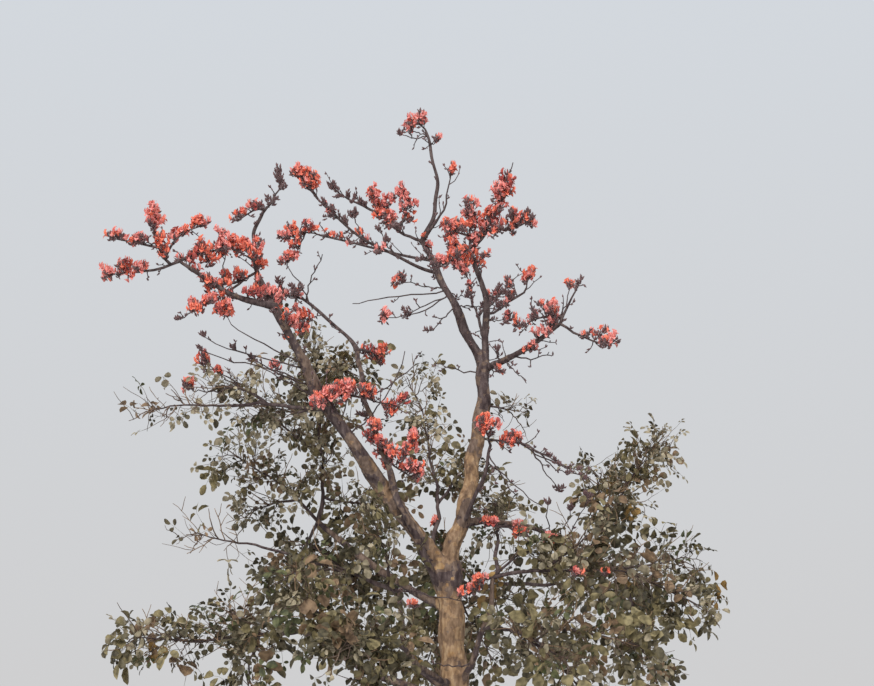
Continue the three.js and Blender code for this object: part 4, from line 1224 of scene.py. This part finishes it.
def grow_raceme(grown, root, direction, length, width, share_open, draw, on_limb=False):
    """A dark stalk with flowers above and beside it, and buds and withered cups beneath and at its tip."""
    per_metre = 132
    bud_tip = 0.86
    other_tint = 0.35
    stalk_radius = (0.0075, 0.004)
    pedicel_radius = (0.0026, 0.002)
    tint = petal_tint(draw)
    path = wander(root, direction, length, draw, points=5, bend=0.16, lift=0.06)
    grown.tube("stalk", path, *stalk_radius)
    count = max(4, round(length * per_metre * draw(0.7, 1.2)))
    for i in range(count):
        t = (i + draw(0.2, 0.8)) / count
        hold = path[0].lerp(path[-1], t)
        bulge = math.sin(math.pi * min(t * 0.85 + 0.12, 1)) ** 0.5
        outward = leaning_from(direction, i * GOLDEN_ANGLE + draw(-0.4, 0.4), draw(1.0, 1.6), lift=0)
        stand = width * bulge * draw(0.15, 1.1)
        seat = hold + outward * max(stand - FLOWER * 0.3, 0.004)
        axis = (outward * 0.9 + UP * draw(0.2, 1.3) + direction * draw(-0.2, 0.6)).normalized()
        if not (on_limb or grown.clear(seat)):
            continue
        if stand > FLOWER * 0.6:
            grown.tube("pedicel", [hold, seat + axis * 0.006], *pedicel_radius)
        # only dark buds and cups grow beneath the stalk: a cluster's dark underside is partly their own
        # colour and partly painted shade
        beneath = outward.z < draw(-0.9, 0.1)
        if draw() < share_open and t < bud_tip and not beneath:
            mixed = petal_tint(draw) if draw() < other_tint else tint
            grown.flowers.append(Flower(mixed, seat, axis, outward, FLOWER * draw(0.8, 1.2)))
        else:
            grown.buds.append(Bud(seat, axis, draw(0.026, 0.05)))


def grow_bloom_mass(name, mass, seed, limbs, grown):
    """A mass of blossom by the source's rule: a raceme for each head, with small ones and spurs between."""
    head_lift = 0.35
    head_lean = 1.1
    half_width = 0.4
    sunk = 0.4
    small_spacing = 0.085
    small_width = 0.5
    spur_spacing = 0.14
    draw = seeded(seed)
    own = seeded(seed + OWN_SEED)
    for arm in arms_of(name, mass, limbs):
        grow_arm(arm, grown, own)
        full = arm.full * OPEN
        for place in stations(arm, arm.spread * HEAD_SPACING, 1, draw):
            direction = leaving(place, head_lean, head_lift)
            length = arm.spread * place.size * HEAD_LENGTH
            grow_raceme(grown, place.root, direction, length, length * half_width, full, own)
        direction = leaning_from(arm.curve.tangent(1), 0, 0, head_lift)
        length = arm.spread * HEAD_LENGTH
        start = arm.curve.point(1) - direction * length * sunk
        grow_raceme(grown, start, direction, length, length * half_width, full, own)
        for place in stations(arm, small_spacing, 2, own):
            direction = leaving(place, 1.3, lift=0.3)
            length = arm.spread * own(0.4, 1.3)
            chance = own()
            if chance < 0.25:
                grow_spur(grown, place.root, direction, length, own)
            else:
                share = full if chance > 0.42 else 0
                grow_raceme(grown, place.root, direction, length, length * small_width, share, own)
        grow_spurs(grown, arm.curve, spur_spacing, own)


def grow_flowers_on(grown, limb, start, end, share_open, draw):
    """Small racemes that sit straight on a limb between two shares of its length."""
    spacing = 0.11
    width = 0.07
    curve = limb.curve
    count = round(curve.length() * (end - start) / spacing)
    for i in range(count):
        t = start + (end - start) * (i + draw(0.2, 0.8)) / count
        direction = leaning_from(curve.tangent(t), draw(0, TURN), draw(0.9, 1.4), lift=0.4)
        root = curve.point(t) + direction * limb_radius(limb.radius, t, curve.length()) * 0.8
        length = 0.05 + 0.12 * draw() ** 2
        grow_raceme(grown, root, direction, length, width, share_open, draw, on_limb=True)


def grow_sprig(grown, sprig, hosts, draw):
    """A thin crooked twig to its own end, with short spurs on the way and a cluster of flowers or buds."""
    points = 10
    wobble = 0.018
    sag = 0.07
    large = 0.1
    start = hosts[sprig.on].curve.point(sprig.at)
    length = (Vector(sprig.to) - start).length
    bow = Vector((draw(-1, 1), draw(-1, 1), draw(-1.3, 0.4))) * length * sag
    curve = Bow(start, sprig.to, bow)
    path = [curve.point(i / (points - 1)) for i in range(points)]
    path[1:] = [point + stray(draw) * wobble for point in path[1:]]
    grown.tube("sprig", path, *SPRIG_RADIUS)
    for i in range(2, points - 1, 2):
        if draw() < 0.6:
            direction = leaning_from(onward(path, i), draw(0, TURN), 0.9, lift=0.2)
            grow_spur(grown, path[i], direction, draw(0.04, 0.13), draw)
    if sprig.open is None:
        return
    count = 3 if sprig.length > large else 2
    for i in range(count):
        direction = leaning_from(curve.tangent(1), TURN * i / count, draw(0.3, 1.3), lift=0.4)
        grow_raceme(grown, path[-1], direction, sprig.length, sprig.length * 0.5, sprig.open, draw)


def grow_spur(grown, root, direction, length, draw):
    """A short crooked twig without leaves, with dark buds at its end."""
    full_turn = 6.3
    path = wander(root, direction, length, draw, points=4, bend=0.35, lift=0.1)
    grown.tube("spur", path, *SPUR_RADIUS)
    for place in (2, 3, 3):
        outward = leaning_from(onward(path, place), draw(0, full_turn), draw(0.2, 1.3), lift=0.2)
        grown.buds.append(Bud(path[place] + outward * 0.005, outward, draw(0.024, 0.042)))


def grow_spurs(grown, curve, spacing, draw):
    """Bare spurs along a limb or an arm."""
    count = round(curve.length() / spacing)
    for i in range(count):
        t = (i + draw(0.3, 0.9)) / count
        direction = leaning_from(curve.tangent(t), draw(0, TURN), draw(0.6, 1.3), lift=0.15)
        grow_spur(grown, curve.point(t), direction, 0.07 + 0.22 * draw() ** 3, draw)


# Small meshes that are copied many times

def strip(rows, points, faces):
    """Adds a strip across rows of points to a mesh under way."""
    first = len(points)
    width = len(rows[0])
    for row in rows:
        points += row
    for low in range(first, len(points) - width, width):
        for a in range(low, low + width - 1):
            b = a + width
            faces += [(a, b, b + 1), (a, b + 1, a + 1)]


def leaflet_template():
    """A broad leaflet of length 1 with a fold along its midrib, as points (along, across, up)."""
    widths = [(0.2, 0.27), (0.55, 0.4), (0.85, 0.27)]
    fold = 0.35
    arch = 0.22
    points = [(0, 0, 0)]
    faces = [(0, 1, 2), (0, 2, 3)]
    rows = []
    for along, half in widths:
        low = -arch * along * along
        rows.append([(along, -half, low + half * fold), (along, 0, low), (along, half, low + half * fold)])
    strip(rows, points, faces)
    last = len(points)
    points.append((1, 0, -arch * 1.05))
    faces += [(last - 3, last, last - 2), (last - 2, last, last - 1)]
    return np.array(points), np.array(faces)


def horn(path, sides):
    """A closed tube in the flower's own plane. Each point of the path is along, up and radius."""
    return closed_tubes([[(x, 0, z) for x, z, _ in path]], [[radius for _, _, radius in path]], sides)


def flower_templates():
    """The petals of a flower of length 1 on the +X axis, beak curving up, and its calyx with the stalk."""
    calyx = horn([(-0.12, 0, 0.035), (0.1, 0, 0.06), (0.32, 0, 0.13)], 4)
    keel = horn([(0.28, 0, 0.1), (0.62, 0.04, 0.17), (0.92, 0.28, 0.12), (0.92, 0.66, 0.014)], 3)
    points = []
    faces = []
    standard = [
        [(0.28, -0.12, -0.04), (0.28, 0, -0.12), (0.28, 0.12, -0.04)],
        [(0.5, -0.32, -0.02), (0.52, 0, -0.16), (0.5, 0.32, -0.02)],
        [(0.7, -0.34, -0.22), (0.76, 0, -0.34), (0.7, 0.34, -0.22)],
        [(0.66, -0.08, -0.56), (0.68, 0, -0.6), (0.66, 0.08, -0.56)],
    ]
    strip(standard, points, faces)
    for hand in (-1, 1):
        wing = [
            [(0.28, 0.09 * hand, 0.08), (0.28, 0.13 * hand, -0.06)],
            [(0.58, 0.24 * hand, 0.22), (0.62, 0.28 * hand, -0.06)],
            [(0.86, 0.3 * hand, 0.42), (0.98, 0.3 * hand, 0.12)],
            [(1.02, 0.24 * hand, 0.58), (1.06, 0.24 * hand, 0.46)],
        ]
        strip(wing, points, faces)
    return joined([keel, (np.array(points), np.array(faces))]), calyx


def bud_template():
    """A dark bud of length 1 on a short stalk, plumper towards its tip."""
    return horn([(-0.4, 0, 0.08), (0.45, 0.04, 0.34), (1.1, 0.2, 0.08)], 4)


def column(things, field):
    """One field of many things as an array."""
    return np.array([getattr(thing, field) for thing in things])


def axes_of(ways, facings, sizes):
    """For each copy, three axes: along its way, across, and up towards its facing."""
    along = ways / np.linalg.norm(ways, axis=1, keepdims=True)
    across = np.cross(facings, along)
    across /= np.linalg.norm(across, axis=1, keepdims=True)
    return np.stack([along, across, np.cross(along, across)], axis=1) * sizes[:, None, None]


def leaflets_of(leaves):
    """The three leaflets of each leaf as one mesh, and the paths of the stalks."""
    end_gap = 0.5
    lifted = 0.35
    leaflets = ((0, 1, end_gap), (1.3, 0.85, 0.12), (-1.3, 0.85, 0.12))
    roots = column(leaves, "root")
    ways = column(leaves, "way")
    blades = column(leaves, "blade")
    sizes = column(leaves, "size")
    widths = column(leaves, "width")
    stalks = column(leaves, "stalk")
    straight = roots + ways * (stalks * 0.6)[:, None]
    joint = straight + (ways + blades) * (stalks * 0.25)[:, None]
    axes = axes_of(blades, column(leaves, "facing"), np.ones(len(leaves)))
    template = leaflet_template()
    parts = []
    for angle, share, gap in leaflets:
        along = axes[:, 0] * math.cos(angle) + axes[:, 1] * math.sin(angle)
        across = (axes[:, 1] * math.cos(angle) - axes[:, 0] * math.sin(angle)) * widths[:, None]
        up = axes[:, 2] + (lifted * axes[:, 1] * math.sin(angle))
        start = joint + along * (sizes * gap)[:, None]
        turned = np.stack([along, across, up], axis=1) * (sizes * share)[:, None, None]
        parts.append(copies(*template, turned, start))
    ends = joint + axes[:, 0] * (sizes * end_gap)[:, None]
    return joined(parts), np.stack([roots, joint, ends], axis=1)


# The pieces of the tree

def add_tubes(name, grown, kinds, sides, material, nodes):
    chosen = [tubes for (kind, _), tubes in sorted(grown.tubes.items()) if kind in kinds]
    add_piece(name, joined([closed_tubes(*zip(*tubes), sides) for tubes in chosen]), material, nodes)


def add_leaves(grown):
    stalk_sides = 3
    paths = []
    for tint, colours in LEAF_TINTS.items():
        blades, stalks = leaflets_of([leaf for leaf in grown.leaves if leaf.tint == tint])
        add_piece("leaves_" + tint, blades, natural("leaf_" + tint, LEAF, colours), LEAFY)
        paths.append(stalks)
    paths = np.concatenate(paths)
    stalks = closed_tubes(paths, np.full(paths.shape[:2], PETIOLE_RADIUS), stalk_sides)
    add_piece("leaf_stalks", stalks, natural("leaf_stalk", LEAF, LEAF_STALK_TINTS), LEAFY)


def add_flowers(grown, velvet):
    petal_tilt = 0.001  # keeps a facing from lying along its way
    bud_facing = UP + Vector((0.01, 0, 0))
    petals, calyx = flower_templates()
    calyxes = []
    for tint, colours in PETAL_TINTS.items():
        flowers = [flower for flower in grown.flowers if flower.tint == tint]
        facings = [UP + flower.facing * petal_tilt for flower in flowers]
        axes = axes_of(column(flowers, "way"), facings, column(flowers, "size"))
        roots = column(flowers, "root")
        blossom = copies(*petals, axes, roots)
        add_piece("blossom_" + tint, blossom, natural("petal_" + tint, PETAL, colours), BLOOMS)
        calyxes.append(copies(*calyx, axes, roots))
    add_piece("calyxes", joined(calyxes), velvet, BLOOMS)
    axes = axes_of(column(grown.buds, "way"), [bud_facing] * len(grown.buds), column(grown.buds, "size"))
    buds = copies(*bud_template(), axes, column(grown.buds, "root"))
    add_piece("buds", buds, velvet, BLOOMS)


def grow_everything(limbs, grown):
    """All the masses, then what grows on the limbs outside them. Each part takes its draws in this order."""
    hosts = dict(limbs)
    seed = 1
    for masses, grow in ((BLOOMS, grow_bloom_mass), (LEAFY, grow_leafy_mass)):
        for name, mass in masses.items():
            grow(name, mass, seed, limbs, grown)
            hosts.update({f"{name} {index}": arm for index, arm in enumerate(arms_of(name, mass, limbs))})
            seed += 1
    spur_spacing = 0.17
    draw = seeded(LIMB_SEED)
    for name in SPURRED:
        grow_spurs(grown, limbs[name].curve, spur_spacing, draw)
    for name, (start, end, share_open) in FLOWERING.items():
        grow_flowers_on(grown, limbs[name], start, end, share_open, draw)
    for sprig in SPRIGS:
        grow_sprig(grown, sprig, hosts, draw)
    grow_bare_twigs(limbs, grown)


def build_tree():
    limbs = grow_limbs()
    samples = limb_samples(limbs)
    nearest = tree_of([sample.place for sample in samples])
    barks = {tint: natural("bark_" + tint, BARK, colours) for tint, colours in BARK_TINTS.items()}
    velvet = natural("calyx", VELVET, CALYX_TINTS)
    add_skin(limbs, samples, nearest, barks.values())
    thin = {name: limb for name, limb in limbs.items() if limb.radius[0] <= SKIN_RADIUS}
    tubes = joined([limb_mesh(limb, 12) for limb in thin.values()])
    add_piece("thin_limbs", tubes, barks["dusky"], thin)
    grown = Growth(samples, nearest)
    grow_everything(limbs, grown)
    add_tubes("branches", grown, ["branch"], 8, barks["dusky"], [*BLOOMS, *LEAFY])
    add_tubes("twigs", grown, ["twig", "wand"], 4, barks["brown"], LEAFY)
    add_tubes("bare_twigs", grown, ["bare"], 4, barks["tan"], LEAFY)
    add_tubes("fine_twigs", grown, ["fine"], 3, barks["brown"], LEAFY)
    add_tubes("spurs", grown, ["spur", "sprig"], 4, barks["dusky"], BLOOMS)
    add_tubes("flower_stalks", grown, ["stalk", "pedicel"], 3, velvet, BLOOMS)
    add_leaves(grown)
    add_flowers(grown, velvet)


# Floor, sky, light and camera

def add_floor():
    bpy.ops.mesh.primitive_circle_add(vertices=96, radius=250, fill_type="NGON")
    floor = bpy.context.object
    floor.name = "floor"
    material, tree, shader = new_material("pale_floor", 0.9)
    mottling = speckle(tree, 0.3, 2, 1)
    colour = shades(tree, mottling, (0.3, 0.7), ((214, 214, 214), (222, 222, 222)))
    tree.links.new(colour, shader.inputs["Base Color"])
    floor.data.materials.append(material)


def add_sky():
    world = bpy.data.worlds.new("sky")
    world.use_nodes = True
    bpy.context.scene.world = world
    tree = world.node_tree
    place = tree.nodes.new("ShaderNodeTexCoord")
    parts = tree.nodes.new("ShaderNodeSeparateXYZ")
    tree.links.new(place.outputs["Generated"], parts.inputs["Vector"])
    colour = shades(tree, parts.outputs["Z"], (0.02, 0.42), ((207, 207, 208), (211, 216, 222)))
    tree.links.new(colour, tree.nodes["Background"].inputs["Color"])


def add_sun():
    """One sun so broad that it gives soft shadows."""
    light = bpy.data.lights.new("soft_sun", "SUN")
    light.energy = 2.2
    light.angle = math.radians(30)
    lamp = bpy.data.objects.new("soft_sun", light)
    lamp.rotation_euler = [math.radians(turn) for turn in (48, -18, 0)]
    bpy.context.scene.collection.objects.link(lamp)


def add_camera():
    """The photo's view: from the front, at eye height, looking up at the crown."""
    eye_height = 1.6
    distance = 20
    sideways = -0.3573
    pitch = 13
    camera = bpy.data.cameras.new("camera")
    camera.sensor_width = 36
    camera.lens = 68.62
    holder = bpy.data.objects.new("camera", camera)
    holder.location = (sideways, -distance, eye_height)
    holder.rotation_euler = (math.radians(90 + pitch), 0, 0)
    bpy.context.scene.collection.objects.link(holder)
    bpy.context.scene.camera = holder


build_tree()
add_floor()
add_sky()
add_sun()
add_camera()
bpy.context.scene.view_settings.view_transform = "Standard"
